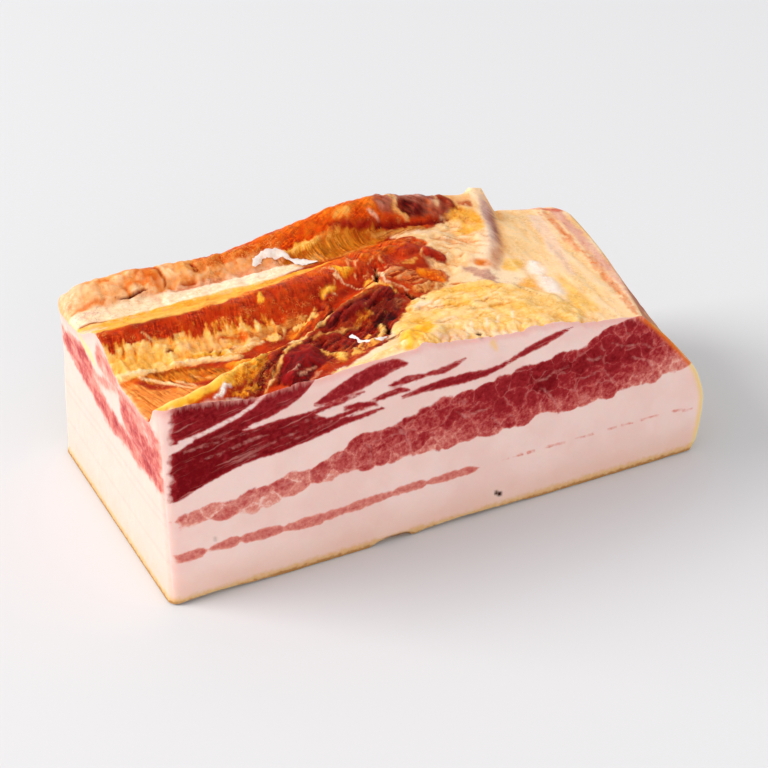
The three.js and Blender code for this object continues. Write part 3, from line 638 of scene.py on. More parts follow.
def lay_right_lobes(top):
    """Lobes of smoked lean where the middle ridge runs out into the fat."""
    top.lay([(-6, 10, 10), (5, 12, 10), (12, 12, 8), (17.6, 11.6, 4)], "#D8591C", "#A63410", (40, 3, 1.2),
            soft=1.6, specks=0.2, bumps=(2, 0.8), wet=0.65, fleck=0.3, grain=(40, 0.7))
    top.lay([(8.4, 6.2, 5.4), (11.8, 7.6, 6.2)], "#8E1A08", "#B43812", (50, 3, 1.2), soft=1.0, specks=0.1,
            rise=1.0, swell=3, smooth=8, wet=0.45, fleck=0.1, grain=(50, 0.5))
    top.lay([(16, 5.6, 4.6), (19.6, 3.8, 5.6)], "#86100A", "#A62A14", (30, 3, 1.2), soft=0.8, specks=0.0,
            rise=1.5, swell=2.8, smooth=12, wet=0.45, fleck=0.0)
    # Painted light on the lobes' rims: a highlight along the dark lobe's upper edge, and lit amber edges
    # beside it.
    top.lay([(14.4, 7.6, 0.7), (18.4, 8, 1.2), (21.6, 5.8, 0.9)], "#C4643A", "#8E2614", (0, 3, 1), soft=0.8,
            rise=0.3)
    top.lay([(13.4, 3.2, 0.6), (14.4, 6, 1.0)], "#DE8E4C", "#F0BC80", soft=0.7, ragged=1.2, rise=0.3)
    top.lay([(5.6, 1.6, 0.7), (8.6, 1.4, 1.3), (11, 2.4, 0.7)], "#EDA24E", "#D87A2E", (10, 3, 0.8),
            soft=0.7, ragged=1.2, rise=0.4)
    # A fan of fibres, and two lumps beside it.
    top.lay([(-2.4, -2.8, 3.4), (4, -3.6, 6.6), (9.4, -4.2, 5)], "#B03A14", "#E2894E", (14, 6, 0.7),
            soft=0.8, specks=0.1, rise=0.9, swell=3, ridged=0.6, wet=0.65, grain=(12, 1.0))
    top.lay([(9.8, -2.8, 4.6), (13.6, -4.4, 6.2), (14.4, -6.4, 4)], "#E87A22", "#CC5010", (60, 5, 2.4),
            soft=1.0, specks=0.05, rise=1.0, swell=3, smooth=12, wet=0.5, grain=(70, 0.2))
    top.lay([(16.4, -2.4, 0.7), (17.2, -5.4, 1.1), (15.8, -8.4, 0.7)], "#AE3A0C", soft=1.0, cover=0.85)
    top.lay([(4.4, -9.8, 3.2), (9.2, -9.4, 4.8), (12.4, -9.4, 3)], "#B04E1C", "#DE9654", (60, 1.4, 0.8),
            soft=0.9, rise=0.8, bumps=(1.4, 0.9), wet=0.6, fleck=0.35)
    # Deep cracks, and pale torn edges beside them.
    top.lay([(-6.8, -5.6, 0.8), (-5, -1.8, 1.7), (-3.6, 2, 0.8)], BLACKENED, soft=0.7, ragged=0.7, specks=0,
            rise=-1.8, swell=1)
    top.lay([(-10.4, -3.4, 1.2), (-8.4, -2.2, 2.0), (-7.4, -3.6, 1.0)], "#F0AC48", "#E58A2E", (40, 2, 1),
            soft=1.0, ragged=1.2, rise=0.5)
    top.lay([(-4.2, 1.8, 0.4), (-3.4, -2, 0.5), (-4.6, -5.4, 0.8), (0, -7.8, 0.8), (2, -9.2, 0.4)],
            "#F0C8A2", "#E39A5C", (20, 2, 0.8), soft=0.6, ragged=1.3, rise=0.4)
    top.lay([(0.2, -9.6, 0.9), (1.4, -12.8, 2.2), (3.2, -16.4, 1.3)], BLACKENED, soft=0.8, ragged=0.7,
            specks=0, rise=-2.2, swell=1.2)
    # Scraps of pale membrane over the ridge.
    draw = np.random.default_rng(5)
    for _ in range(16):
        x, y = draw.uniform(-20, 4), draw.uniform(-5, 7)
        turn, long = draw.uniform(0.4, 2.2), draw.uniform(0.8, 2.2)
        dx, dy = long * math.cos(turn), long * math.sin(turn)
        top.lay([(x - dx, y - dy, 0.25), (x, y, 0.5), (x + dx, y + dy, 0.25)], "#EDA266", soft=0.6,
                ragged=1.3, cover=0.8, rise=0.2, swell=0.6)


def lay_fat_mound(top):
    mound = [(-14, -44, 11), (-5, -31, 20), (8, -28, 31), (18, -29, 35), (25, -33, 33), (30, -38, 26)]
    top.lay(mound, "#F0B964", "#F3CA8C", (40, 5, 3), soft=1.0, rise=1.0, swell=2.4, bumps=(5, 0.7),
            wet=0.42)
    top.heap(mound, 4.6, 0.25, 0.2)
    # Deep yellow patches, and paler ones.
    top.lay([(-19, -46, 4), (-15, -42, 7), (-9, -38, 7), (-6, -33, 5)], "#F0A016", "#F2B03A", (55, 4, 2),
            soft=2.4, bumps=(3, 0.8), cover=0.9)
    top.lay([(-11, -31, 5), (-5, -28, 6)], "#EAA02E", "#EFBE6C", (50, 3, 2), soft=3, cover=0.9,
            bumps=(2.5, 0.6))
    top.lay([(7, -22, 4), (12, -25, 6)], "#EAA336", "#EEBC66", (30, 4, 2), soft=3, cover=0.9)
    top.lay([(19, -31, 5), (25, -34, 5)], "#E9A23A", "#EFBD6C", (20, 5, 2), soft=3, cover=0.85)
    top.lay([(12, -15, 5), (20, -17, 6), (27, -19, 4)], "#EBA83A", "#F0BE6C", (-20, 6, 2), soft=3,
            cover=0.9)
    top.lay([(0, -19.6, 4), (4, -21.6, 5)], "#F4D6BA", "#F0C8A0", (40, 4, 2), soft=2.4, cover=0.9)
    top.lay([(-3, -36, 4), (3, -34, 5)], "#F1CFA6", "#EDBE88", (50, 4, 2), soft=2.4, cover=0.8)
    top.lay([(-7, -45, 4), (-2, -46, 4)], "#F0C8AA", "#EDB98E", (20, 4, 2), soft=2, cover=0.9)
    top.lay([(8, -31, 4), (15, -29, 5)], "#F0CB92", "#EEBF7C", (10, 5, 2), soft=3, cover=0.8)
    # Creases, tinted darker as painted shade in them: across its top they follow its rim,
    # and along its front edge they stand up.
    draw = np.random.default_rng(9)
    for _ in range(34):
        x, y = draw.uniform(-6, 28), draw.uniform(-38, -15)
        long, rise = draw.uniform(1.5, 4), draw.uniform(-1.2, 1.2)
        top.lay([(x - long, y - rise, 0.3), (x, y, draw.uniform(0.5, 1.0)), (x + long, y + rise, 0.3)],
                "#E09C48", soft=0.8, ragged=1.3, cover=0.65, rise=-0.4, swell=0.4)
    for x in np.arange(-16, 44, 2.2):
        foot = x + draw.uniform(-1.2, 1.2)
        deep = draw.uniform(2, 9)
        lean_to = draw.uniform(-0.6, 3)
        top.lay([(foot, -48.5, 0.8), (foot + lean_to, -48 + deep, 0.3)], "#E2A058", soft=0.9, ragged=1.3,
                cover=0.5, rise=-0.3, swell=0.5)
    for x, y in ((1, -45), (3, -44), (9, -43), (13, -42), (19, -41)):
        top.lay([(x, y, 1.0), (x + 2.4, y + 4, 0.6)], "#F8E2C2", soft=1.0, ragged=0.9, cover=0.8, rise=0.3)
    # Its far edge lies over the fat beyond, with a dark line of painted shadow under it.
    top.lay([(24.6, -11.6, 0.6), (29.4, -16.4, 1.2), (33.6, -22.6, 1.0), (36, -30, 0.5)], "#C08A5C",
            "#E0B07C", soft=0.9, ragged=0.8, cover=0.85, rise=-0.6)
    # Purple-grey painted shade beside it, where a hollow lies in shadow.
    top.lay([(25.6, -3.6, 2.4), (28, -8, 5), (28.8, -12, 4.6), (27.6, -17, 2)], "#B0786A", "#CC9A80",
            (-70, 5, 1.8), soft=2.2, ragged=1.2, specks=0.15, cover=0.95)
    top.lay([(4.2, -45.8, 1.3), (5, -45.4, 1.3)], "#4A1A0A", soft=0.5, ragged=0.2, cover=0.9, specks=0,
            rise=-0.7, swell=0.5)


def lay_plateau(top):
    # Fat left of the torn edge, under the back ridge.
    upper = [(20, 0, 12), (28, 10, 16), (36, 20, 16), (44, 28, 14)]
    top.lay(upper, "#F2BC82", "#F5CC9C", (35, 5, 3), soft=3, bumps=(4, 0.6))
    top.heap(upper, 6, 0.4, 0.25)
    top.lay([(38, 32, 6), (44, 28, 9), (43, 22, 7), (37, 19, 4)], "#EE9E2C", "#F2B458", (-60, 4, 2),
            soft=2.4, bumps=(3.5, 0.9), cover=0.95)
    top.lay([(40, 36, 5), (47, 37, 5), (52, 38.5, 4)], "#EFBC84", "#E9A468", (20, 4, 2), soft=2)
    top.lay([(44, 34, 1.6), (47.4, 33.6, 2.4)], "#B4502A", "#D98A5A", (20, 3, 1.2), soft=1, bumps=(2, 0.5))
    top.lay([(22, 18, 4), (28, 19, 6), (31, 17, 3)], "#F4CC9A", "#EEB67A", (20, 4, 2), soft=1.6, rise=0.6,
            swell=3)
    top.lay([(30, 24, 4), (35, 25, 5)], "#EDB978", "#F1CDA0", (30, 4, 2), soft=2, bumps=(3, 0.7))
    top.lay([(23, 9, 4), (30, 7, 6)], "#F4CC98", "#EFBC84", (20, 5, 2), soft=2, bumps=(3, 0.5))
    # Creases and folds, sunk a little and tinted darker: painted shade in them.
    for x, y, long in ((34, 14, 5), (37, 11, 5), (36, 7, 4), (40, 16, 4), (42, 13, 3), (33, 3.4, 4)):
        top.lay([(x - long / 2, y + 1, 0.4), (x, y, 1.1), (x + long / 2, y - 1.4, 0.5)], "#E3935C",
                "#EDB888", (-20, 5, 1), soft=1.1, ragged=1.1, cover=0.85, rise=-0.3)
    for x, y, long in ((25, 14.6, 4), (22, 5, 3), (27, 3.6, 3), (31, 20.6, 3), (19.6, 22, 3)):
        top.lay([(x - long / 2, y - 0.6, 0.4), (x, y, 0.9), (x + long / 2, y + 0.8, 0.4)], "#D88A4A",
                soft=0.9, ragged=1.2, cover=0.75, rise=-0.5, swell=0.5)
    folds = np.random.default_rng(13)
    for _ in range(22):
        x = folds.uniform(20, 44)
        y = x - 18 + folds.uniform(-9, 9)
        long, drop = folds.uniform(1.5, 3.6), folds.uniform(0.4, 2.4)
        top.lay([(x - long, y + drop, 0.3), (x, y + 0.5, folds.uniform(0.5, 1.0)),
                (x + long, y - drop, 0.3)], "#D98446", "#E8AA74", (-30, 3, 1), soft=0.9, ragged=1.3,
                cover=0.75, rise=-0.5, swell=0.5)
    # An orange spot beside the torn edge, and an orange crack.
    top.lay([(30.4, -1.6, 4), (33, -3, 4.6)], "#DA7220", "#E48A3C", (40, 3, 2), soft=2.6, ragged=1.0,
            cover=0.95, rise=-0.3)
    top.lay([(31.4, -2, 1.4), (32.6, -2.8, 1.8)], "#C2560E", soft=1.4, cover=0.8)
    top.lay([(16, -10.4, 0.7), (18.4, -11.6, 2.0), (22, -13.2, 1.5), (25, -14, 0.6)], "#DC7A20", "#BC4E10",
            (-30, 4, 1.2), soft=0.8, ragged=0.6, rise=-0.5)
    # Fat of the right end, in diagonal streaks.
    top.lay([(46, -48, 24), (58, 0, 32), (68, 40, 28)], "#F3C286", "#F6D0A4", (78, 16, 2.2), soft=3,
            ragged=0.8, ridged=0.25, bumps=(5, 0.4), wet=0.38)
    top.lay([(40, -6, 6), (43, -3, 7)], "#F0AE42", "#F2C06C", (60, 5, 3), soft=3, cover=0.9)
    top.lay([(36, -20, 5), (40, -18, 6), (41, -24, 4)], "#E99E38", "#EEB464", (62, 6, 3), soft=3, cover=0.9)
    top.lay([(49, -18, 6), (48, -26, 7), (46, -38, 8)], "#F0B048", "#F2C474", (74, 10, 2.4), soft=4,
            cover=0.85)
    top.lay([(52, 4, 8), (56, 14, 9), (60, 28, 8)], "#EDBB7A", "#F0CC9C", (70, 10, 3), soft=4, cover=0.85)
    top.lay([(55, -30, 5), (57, -16, 5), (60, -6, 4)], "#ECB666", "#F2D2A6", (78, 10, 1.4), soft=3,
            cover=0.8)
    # Soft white blots.
    top.lay([(49, -4.6, 4), (46.6, -10.6, 6)], "#FAE6DA", "#F6DCC8", (70, 7, 4), soft=4.4, specks=0.1,
            cover=0.95, rise=0.3)
    top.lay([(46, -16.6, 5.6), (43.6, -24.6, 7.4)], "#FAE6DA", "#F6DAC6", (70, 7, 4), soft=4.4, specks=0.1,
            cover=0.95, rise=0.3)
    top.lay([(42.6, -29, 3), (40, -37, 3)], "#F4D8BC", "#EFC898", (70, 5, 2), soft=2.4, cover=0.8)
    # White, orange and pink bands along the right edge.
    top.lay([(57, -15, 2.4), (62, 0, 4), (67, 14, 5), (71.6, 30, 4.6)], "#F0D0B8", "#EABE9E", (78, 14, 1.2),
            soft=2, ragged=0.9, cover=0.9)
    top.lay([(58.6, -47, 2), (61, -40, 1.8), (65, -26, 2.2), (70, -8, 2.4), (73, 8, 2.6), (77, 32, 3.4)],
            "#D96E28", "#E9A87C", (76, 8, 1.1), soft=1.3, ragged=1.0, fringe=1.4)
    top.lay([(63, -45, 2), (69, -24, 2.6), (75, -2, 3.4), (79, 14, 4), (82, 34, 4)], "#E4B09A", "#D5907A",
            (76, 8, 1.3), soft=1.8, ragged=1.0)
    # The torn edge: its pinkish lip, and the shaded foot of its step.
    top.lay([(30.6, -7, 1.2), (36.6, 1.4, 2.4), (42.6, 11, 3), (47.4, 20, 3), (51.4, 30, 2.6)], "#E8A478",
            "#F0BE96", (62, 5, 1.2), soft=2.4, ragged=1.2, cover=0.8)
    top.lay([(34, -6.4, 2), (39.4, 2.4, 3.4), (44.8, 11, 3.6), (47.6, 17, 2.4)], "#CC8460", "#DCA480",
            (60, 7, 2.4), soft=2.6, ragged=0.9, cover=0.9)
    top.lay([(44.6, 11, 2), (49.8, 21.6, 4), (54.2, 33, 4.4)], "#98605A", "#BC8274", (60, 7, 2.4), soft=2.6,
            ragged=0.9, cover=0.95)
    top.lay([(66, 39.6, 2.4), (75, 38.4, 3.2), (84, 34, 3)], "#C4543E", "#DE8E74", (0, 5, 1.6), soft=2,
            ragged=1.2)


def soften(field, times):
    """Averages each point of a grid with its neighbours, this many times."""
    for _ in range(times):
        padded = np.pad(field, 1, mode="edge")
        field = (padded[:-2, 1:-1] + padded[2:, 1:-1] + padded[1:-1, :-2] + padded[1:-1, 2:] + 2 * field) / 6
    return field


# How far in from the cut left end the top rounds down to it, and how far down at the front and the back.
LEFT_ROUND, LEFT_DROPS = 3.0, (0.4, 2.6)
# The height over its surroundings at which a place counts as high, how much painted shade in the hollows
# and painted light on the high places change its tint, and the darkest and brightest tints.
HIGH, RELIEF_SHADE_AND_LIGHT, DARKEST, BRIGHTEST = 0.5, 0.4, 0.002, 0.98
# How much brighter and more colourful the smoke leaves the strokes' own tints.
VIVID, SATURATION = 1.05, 1.04


def dress_top(x, y):
    """The smoked top, laid from its ground up."""
    top = SmokedTop(x, y)
    lay_ground(top)
    lay_plateau(top)
    lay_fat_mound(top)
    lay_back_hollow(top)
    lay_back_ridge(top)
    lay_middle_ridge(top)
    lay_front_trough(top)
    lay_front_ridge(top)
    lay_meat_strips(top)
    lay_right_lobes(top)
    # A pale line where the top meets the cut left end.
    top.lay([(-93.4, -48, 1.4), (-93.4, 40, 1.4)], "#F4CFA4", soft=1, cover=0.7)
    # The edge to the cut left end is rounded, most at the back.
    near = np.clip(1 - (x - LEFT) / LEFT_ROUND, 0, 1)
    top.height = top.height - mix(*LEFT_DROPS, step(y, 12, 32)) * (1 - np.sqrt(1 - near**2))
    # Painted shade darkens and deepens the hollows and painted light pales the high places;
    # smoke and dried juices deepen the hollows too.
    high = np.clip((top.height - soften(top.height, 10)) / HIGH, -1, 1)
    for tint in (top.tint, top.vein):
        grey = tint.mean(axis=-1, keepdims=True)
        vivid = VIVID * (grey + SATURATION * (tint - grey))
        tint[:] = np.clip(vivid, DARKEST, BRIGHTEST) ** (1 - RELIEF_SHADE_AND_LIGHT * high[..., None])
    return top


# The cut front: curves over the slab's length, and ribbons of lean and of fat as (x, z, width).
streak_middle = through((LEFT, 15.2), (-84, 15.4), (-75, 15.8), (-62, 15.4), (-50, 15), (-38, 15.6),
        (-25, 16.4), (-14, 16.8), (-5, 16.8), (5, 16.6))
streak_half = through((LEFT, 1.2), (-84, 1.7), (-80, 1.0), (-75, 1.9), (-68, 1.7), (-64, 1.9), (-57, 1.2),
        (-52, 2), (-46, 2), (-41, 1.3), (-34, 1.7), (-26, 1.3), (-18, 1.6), (-9, 1.3), (-4, 1.5), (3, 1.0),
        (6, -0.6))
STREAK_LINKS = ((-81.5, 1.2), (-71.6, 1.4), (-58.4, 0.7), (-45.6, 1.1), (-24.2, 0.9), (-12.6, 1.3),
        (-2, 0.7))
main_lower = through((LEFT, 24.6), (-88, 24.4), (-73, 24.4), (-66, 24), (-53, 26), (-43, 27.4), (-33, 27.2),
        (-23, 27.4), (-3, 26.8), (9, 26.6), (14, 28), (20, 27), (26, 28.6), (32, 28.2), (37, 27.8),
        (45, 28.4), (52, 28.8), (54, 30.6), (62, 29.4), (72, 30.8), (80, 32))
main_upper = through((LEFT, 27), (-90, 28.4), (-86, 29.4), (-78, 29.8), (-68, 30.8), (-60, 32), (-53, 32.8),
        (-48, 34), (-41, 36), (-33, 39.5), (-27, 40.2), (-22, 39.6), (-18, 41.2), (-13, 43), (-3, 44),
        (7, 45), (19, 46.8), (27, 47.5), (31, 48.7), (41.2, 48.8), (42.2, 50.2), (44, 51.3), (47, 52.3),
        (50, 53.4), (55, 53.9), (60, 54.2), (75, 52))
rib_lower = through((LEFT, 33.4), (-88, 34), (-83, 35.8), (-75, 38.4), (-68, 40), (-61, 40.3), (-53, 41.2),
        (-45, 42.6), (-38, 43.9), (-31, 44.6), (-27, 45.8))
rib_upper = through((LEFT, 58), (-74, 54), (-69, 50.5), (-58, 50.9), (-50, 50.6), (-46, 48.3), (-42, 46.6),
        (-36, 45.8), (-27, 45))
rib_over = through((LEFT, 44), (-72, 47), (-69, 50.6), (-61, 52.5), (-55, 54.6), (-51, 57), (-48, 60.5),
        (-42, 70))
LEAN_RIBBONS = (
    [(-48, 52.6, 1), (-41, 54.3, 4.4), (-35, 56.3, 5.8), (-29, 58, 5.6), (-24, 58.8, 4), (-20, 58.2, 1.4)],
    [(-50, 50.2, 1.4), (-44, 50.9, 1.6), (-38, 51.6, 1.2), (-33, 52.6, 0.6)],
    [(-39, 49, 1), (-35, 48.7, 2), (-31, 48.2, 1.6), (-29, 47.6, 0.7)],
    [(-31, 49, 0.8), (-27, 49.6, 1.9), (-22, 50.2, 1.9), (-19, 49.6, 0.7)],
    [(-50, 46.8, 1.6), (-43, 46.7, 1.5), (-36, 47.4, 1.3), (-31, 47.9, 1)],
    [(-42, 44.6, 1.6), (-34, 45.2, 1.4), (-27, 45.9, 0.8)],
    [(-21, 47.8, 1), (-15, 48.5, 2), (-8, 48.7, 3), (0, 48.5, 3.2), (6, 48.4, 2.2), (11, 49.2, 1.5),
     (15, 50.6, 1.3), (20, 52.2, 2.4), (26, 53.8, 2.6), (31, 55.2, 1.8), (35, 56.2, 0.6)],
    [(-25, 52.4, 1), (-20, 53, 2.4), (-15, 53, 1.6), (-13, 52.6, 0.6)],
    [(-14, 53, 1), (-8, 53, 2.2), (-4, 53.8, 1.8), (-1, 54.8, 0.8)],
)
FAT_RIBBONS = (
    [(-92, 49.6, 3.2), (-88, 50.3, 2.2), (-84, 51.2, 1.0)],
    [(-87, 51.6, 1.4), (-82, 52.2, 1.3), (-76, 53.6, 1.3), (-70, 55.3, 1.2), (-66, 57.4, 1.2),
     (-62, 60.5, 1.3)],
)
# Thin seams and islands of paler tissue in the lean.
PALE_SEAMS = (
    [(-86, 48.7, 1.3), (-78, 48.9, 1.1), (-70, 49.1, 0.7), (-62, 49.6, 0.5)],
    [(-79, 44.8, 0.6), (-72, 46, 0.9), (-65, 47, 1.1), (-62, 47.2, 0.5)],
    [(-82, 44.6, 0.6), (-76, 44.9, 0.6)],
    [(-66, 43.6, 0.5), (-60, 44.2, 0.7), (-54, 45.4, 0.6)],
    [(-57, 42.6, 0.6), (-50, 44.4, 0.8), (-43, 45.9, 0.8)],
    [(-70, 41.2, 0.6), (-65, 41.8, 0.6)],
    [(-56, 47.6, 0.5), (-48, 48.6, 0.8), (-41, 48.2, 0.6)],
    [(-80, 28.6, 0.7), (-72, 28.2, 0.9), (-64, 28.6, 0.7), (-58, 29.8, 1.0), (-50, 30.6, 0.6),
     (-46, 31.4, 0.5)],
    [(-46, 31.4, 0.8), (-42, 32.6, 0.7), (-40, 35, 1.0), (-38.6, 37, 0.6)],
    [(-34, 33.2, 0.6), (-32.6, 35.4, 0.9), (-26, 36, 0.7), (-21, 36.4, 1.0), (-17, 36.4, 0.6)],
    [(-31.4, 35.4, 1.1), (-31, 31.6, 0.8), (-31, 28, 0.9)],
    [(-23.4, 40, 0.6), (-22.4, 38, 0.8), (-20.4, 36, 1.0), (-18.6, 32, 0.9), (-18, 27.6, 0.9)],
    [(-46.6, 30.6, 0.9), (-46, 27.6, 0.8)],
    [(-3, 38, 0.6), (0, 35.6, 1.4), (4, 36.2, 1.2), (8, 36, 0.6)],
    [(24, 36.6, 0.8), (25.6, 38.4, 0.8), (27.4, 36.2, 1.0), (29.6, 33.8, 0.9), (31.6, 31, 0.6)],
    [(21, 40.9, 0.5), (27, 41.2, 1.0), (31, 42.8, 0.9), (35, 43.4, 0.6)],
    [(41, 44, 0.8), (44.4, 43, 1.6), (46.6, 43.6, 1.0)],
    [(37, 38.4, 0.6), (41, 37.8, 0.9), (47, 39, 0.8), (49.4, 36.4, 0.9), (51.6, 33, 1.0)],
    [(49.4, 47.6, 0.7), (53, 45.6, 0.9), (57.6, 44.6, 0.9), (62, 44, 0.7), (65.4, 41.4, 0.6)],
    [(58, 40.4, 0.9), (64, 37.8, 0.8), (66, 35, 1.0), (66, 31, 0.8)],
    [(39.6, 34, 0.6), (42, 31.4, 0.8), (43, 28.4, 0.7)],
    [(-28, 49.9, 0.4), (-23, 50.2, 0.7)],
    [(-20, 53.2, 0.7), (-16, 53, 0.9)],
    [(-10, 53, 0.8), (-5, 53.6, 1.0)],
)
# Faint dashes of lean where the streak has run out.
DASHES = ((13, 15), (17, 20), (22, 24), (28, 35), (39, 46), (51, 54), (56, 60), (63, 70), (75, 79),
        (79.5, 83))
# Specks on the front: x, z, width and how dark each is.
SPECKS = ((11.2, 5.9, 1.3, 1.0), (12.4, 5.2, 1.6, 1.0), (-79, 18.4, 1.0, 0.35), (4, 60.4, 0.9, 0.6))
# Painted shadow in the gap under the lifted rind, as (x, z, width).
RIND_GAP_SHADOW = [(-29, 0.6, 0.8), (-26, 1.0, 1.5), (-21, 1.2, 1.6), (-18.6, 1.0, 0.7)]
YELLOW_DRIP = [(7.8, 58, 1.8), (8.8, 56.4, 1.4), (9.6, 55, 0.8)]
# How far from the smoke crust the edges of the drip, and of the fold on the left end, count as being.
DRIP_EDGE, FOLD_EDGE = 1.8, 2.0


def streak_links(x):
    """Half the thin streak's height, pinched between its links."""
    half = streak_half(x)
    for gap, deep in STREAK_LINKS:
        half = half - 0.6 * deep * np.exp(-(((x - gap) / 0.9) ** 2))
    return half


def strongest(layers):
    """The layer that each point lies deepest in: its depth, tone and how lobed it is."""
    depth, tone, lobed = layers[0]
    for other_depth, other_tone, other_lobed in layers[1:]:
        more = other_depth > depth
        depth = np.where(more, other_depth, depth)
        tone = np.where(more, other_tone, tone)
        lobed = np.where(more, other_lobed, lobed)
    return depth, tone, lobed


def deepest(u, v, paths):
    """How far inside the nearest of some ribbons each point lies."""
    return np.max([ribbon(u, v, path) for path in paths], axis=0)


def cut_front(x, z):
    """Lean depth, tone and lobing over the cut front face."""
    none, full = np.zeros_like(x), np.ones_like(x)
    streak = np.minimum(streak_links(x) - np.abs(z - streak_middle(x)), 1.1)
    for start, end in DASHES:
        low = 17.0 - 1.5 * step(np.array(float(start)), 72, 82)
        dash = ribbon(x, z, [(start, low, 0.8), (end, low - 0.1, 0.7)])
        streak = np.maximum(streak, np.minimum(dash, 0.1) - 0.05)
    main = np.minimum(z - main_lower(x), main_upper(x) - z)
    # The main lean is deepest in its middle, and paler along its lower edge and at both of its ends.
    middle = np.exp(-(((x - 24) / 34) ** 2))
    above = z - main_lower(x)
    main_tone = 0.3 + 0.1 * step(x, -62, -28) + 0.14 * middle + (0.12 + 0.1 * middle) * step(above, 2, 8)
    main_tone = main_tone + 0.1 * step(above, 6, 12) - 0.06 * step(x, 58, 76)
    ribs = np.minimum(np.minimum(z - rib_lower(x), rib_upper(x) - z), -27 - x)
    ribs = np.maximum(ribs, np.minimum(z - rib_over(x), -42 - x))
    ribs = np.maximum(ribs, deepest(x, z, LEAN_RIBBONS))
    rib_tone = 1.0 - 0.12 * step(z, 46, 57) - 0.1 * step(x, -86, -60) - 0.1 * step(x, -66, -30)
    depth, tone, lobed = strongest(((streak, 0.3 * full, 0.2 * full), (main, main_tone, full),
            (ribs, rib_tone, none)))
    depth = np.minimum(depth, -deepest(x, z, FAT_RIBBONS))
    # The lean fades out before it reaches the upright edge: partly fraying,
    # partly painted light for the rounded edge catching the window.
    rim = x - LEFT - 2.2 - 0.06 * np.maximum(z - 34, 0) + 1.1 * crumble(x / 6, z, 1.6, 6)
    return np.minimum(depth, 0.4 * rim), tone, lobed


# The cut left end, over the slab's depth: ribbons of lean as (y, z, width), and how deep each is in tone.
# Their tones are low, so this lean is pale: partly its own colour, partly painted light for the full light on
# this end.
LEFT_LEAN = (
    (0.34, [(-49, 43, 15), (-42, 45, 19), (-36, 46, 19.5), (-30, 46.4, 18), (-24, 47.4, 14), (-19, 51.2, 6),
     (-15, 52.6, 1)]),
    (0.34, [(-49, 38.4, 6), (-30, 38.6, 6), (-20, 38.8, 7), (-10, 38.8, 7.6), (0, 39.6, 8), (8, 43, 10.6),
     (16, 45.8, 13), (24, 46.2, 12), (30, 45.6, 8), (36, 45, 2)]),
    (0.24, [(-14, 55, 5), (-9, 56, 8), (-3, 56, 8), (1, 54.5, 5)]),
    (0.22, [(-13, 51.4, 1.6), (-7, 50.4, 2.6), (-1, 48.4, 4), (4, 46, 5)]),
    (0.24, [(33, 50, 1), (36, 48.5, 4), (40, 46.4, 2)]),
)
LEFT_FOLD = [(4, 51.2, 1.5), (8, 52.4, 3.8), (13, 53.4, 3.4), (18, 55.2, 1.2)]
LEFT_SEAMS = (
    [(-44, 50, 0.8), (-38, 47, 0.6), (-34, 44, 1.0), (-30, 41, 0.5)],
    [(-31, 52, 0.6), (-26, 49, 1.0), (-23, 45.6, 0.6)],
    [(-46, 40.6, 0.6), (-36, 41, 0.9), (-26, 40.6, 0.5)],
    [(-40, 53.4, 0.5), (-35, 51.4, 0.8), (-33, 48.4, 0.5)],
    [(6, 43.6, 0.5), (14, 45.4, 0.9), (23, 46.6, 0.6)],
)
# Heights of the faint streaks, and how far each spreads.
FAINT_STREAKS = ((14.2, 0.8), (26.0, 0.8), (29.4, 0.9))
# In their middle the fat is as pink as it is this far under the top.
BLUSH = 1.7
LEFT_SPECK = [(38.6, 46.6, 0.8), (40, 45.8, 1.3), (40.8, 45.2, 0.6)]


def cut_left(y, z):
    """Lean depth, tone and lobing over the cut left end."""
    none, full = np.zeros_like(y), np.ones_like(y)
    torn = 1.5 * crumble(y, z, 6, 4) + 0.7 * crumble(y, z, 2.4, 14)
    layers = [(NO_LAYER * full, none, none)]
    mottle = 0.34 * crumble(y, z, 5, 24) + 0.3 * crumble(y / 3, z, 1.5, 34)
    for tone, path in LEFT_LEAN:
        layers.append((0.3 * (ribbon(y, z, path) + torn), tone + mottle * tone / 0.5, none))
    depth, tone, lobed = strongest(layers)
    return np.minimum(depth, 0.5 * (y - FRONT - 1.6 + crumble(y / 4, z, 1.4, 16))), tone, lobed


# The smoked back: where the rib lean's floor lies, and how far right it reaches.
rib_floor_back = through((LEFT, 40), (-78, 43), (-43, 47), (-10, 49), (12, 51), (34, 53.5))
RIBS_END_BACK = 41
BACK_STREAK = {"z": 14.4, "half": 1.5, "end": 5}


def smoked_sides(x, y, z):
    """Lean depth, tone and lobing over the smoked right end and back."""
    none, full = np.zeros_like(x), np.ones_like(x)
    wander = 1.6 * crumble(x + 0.7 * y, z, 11, 71)
    main = np.minimum(z - main_lower(x), main_upper(x) - z) + wander
    ribs = np.minimum(z - rib_floor_back(x), RIBS_END_BACK - x) - 60 * (1 - step(y, 20, 34)) + wander
    streak = BACK_STREAK["half"] - np.abs(z - BACK_STREAK["z"] + 0.5 * wander)
    streak = np.minimum(streak, 0.4 * (BACK_STREAK["end"] - x))
    cloud = 0.3 * crumble(x + 0.7 * y, z, 16, 81) - 0.2 * step(x, 56, 70)
    return strongest(((streak, 0.25 + cloud, 0.2 * full), (main, 0.5 + cloud, full),
            (ribs, 0.72 + cloud, 0.4 * full)))


rind_lift = through((LEFT, 0.2), (-88, 0.9), (-75, 1.0), (-63, 0.2), (-36, 0.1), (-31, 0.2), (-28, 1.2),
        (-20, 1.3), (-17, 0.3), (-13, 0.9), (4, 1.1), (18, 0.7), (28, 0.2), (RIGHT, 0.1))


def rind_height(x, y):
    """Underside: flat, with the rind lifting a little along the front cut."""
    near_front = 1 - step(y - FRONT, 0, 7)
    return near_front * (rind_lift(x) + 0.25 * step(crumble(x, y, 5, 9), -0.2, 0.5))


# Where the search for the top's rim starts, how often it steps, and how far each step goes.
USUAL_HEIGHT, OUTLINE_ROUNDS, OUTLINE_EASE = 56.0, 8, 0.8


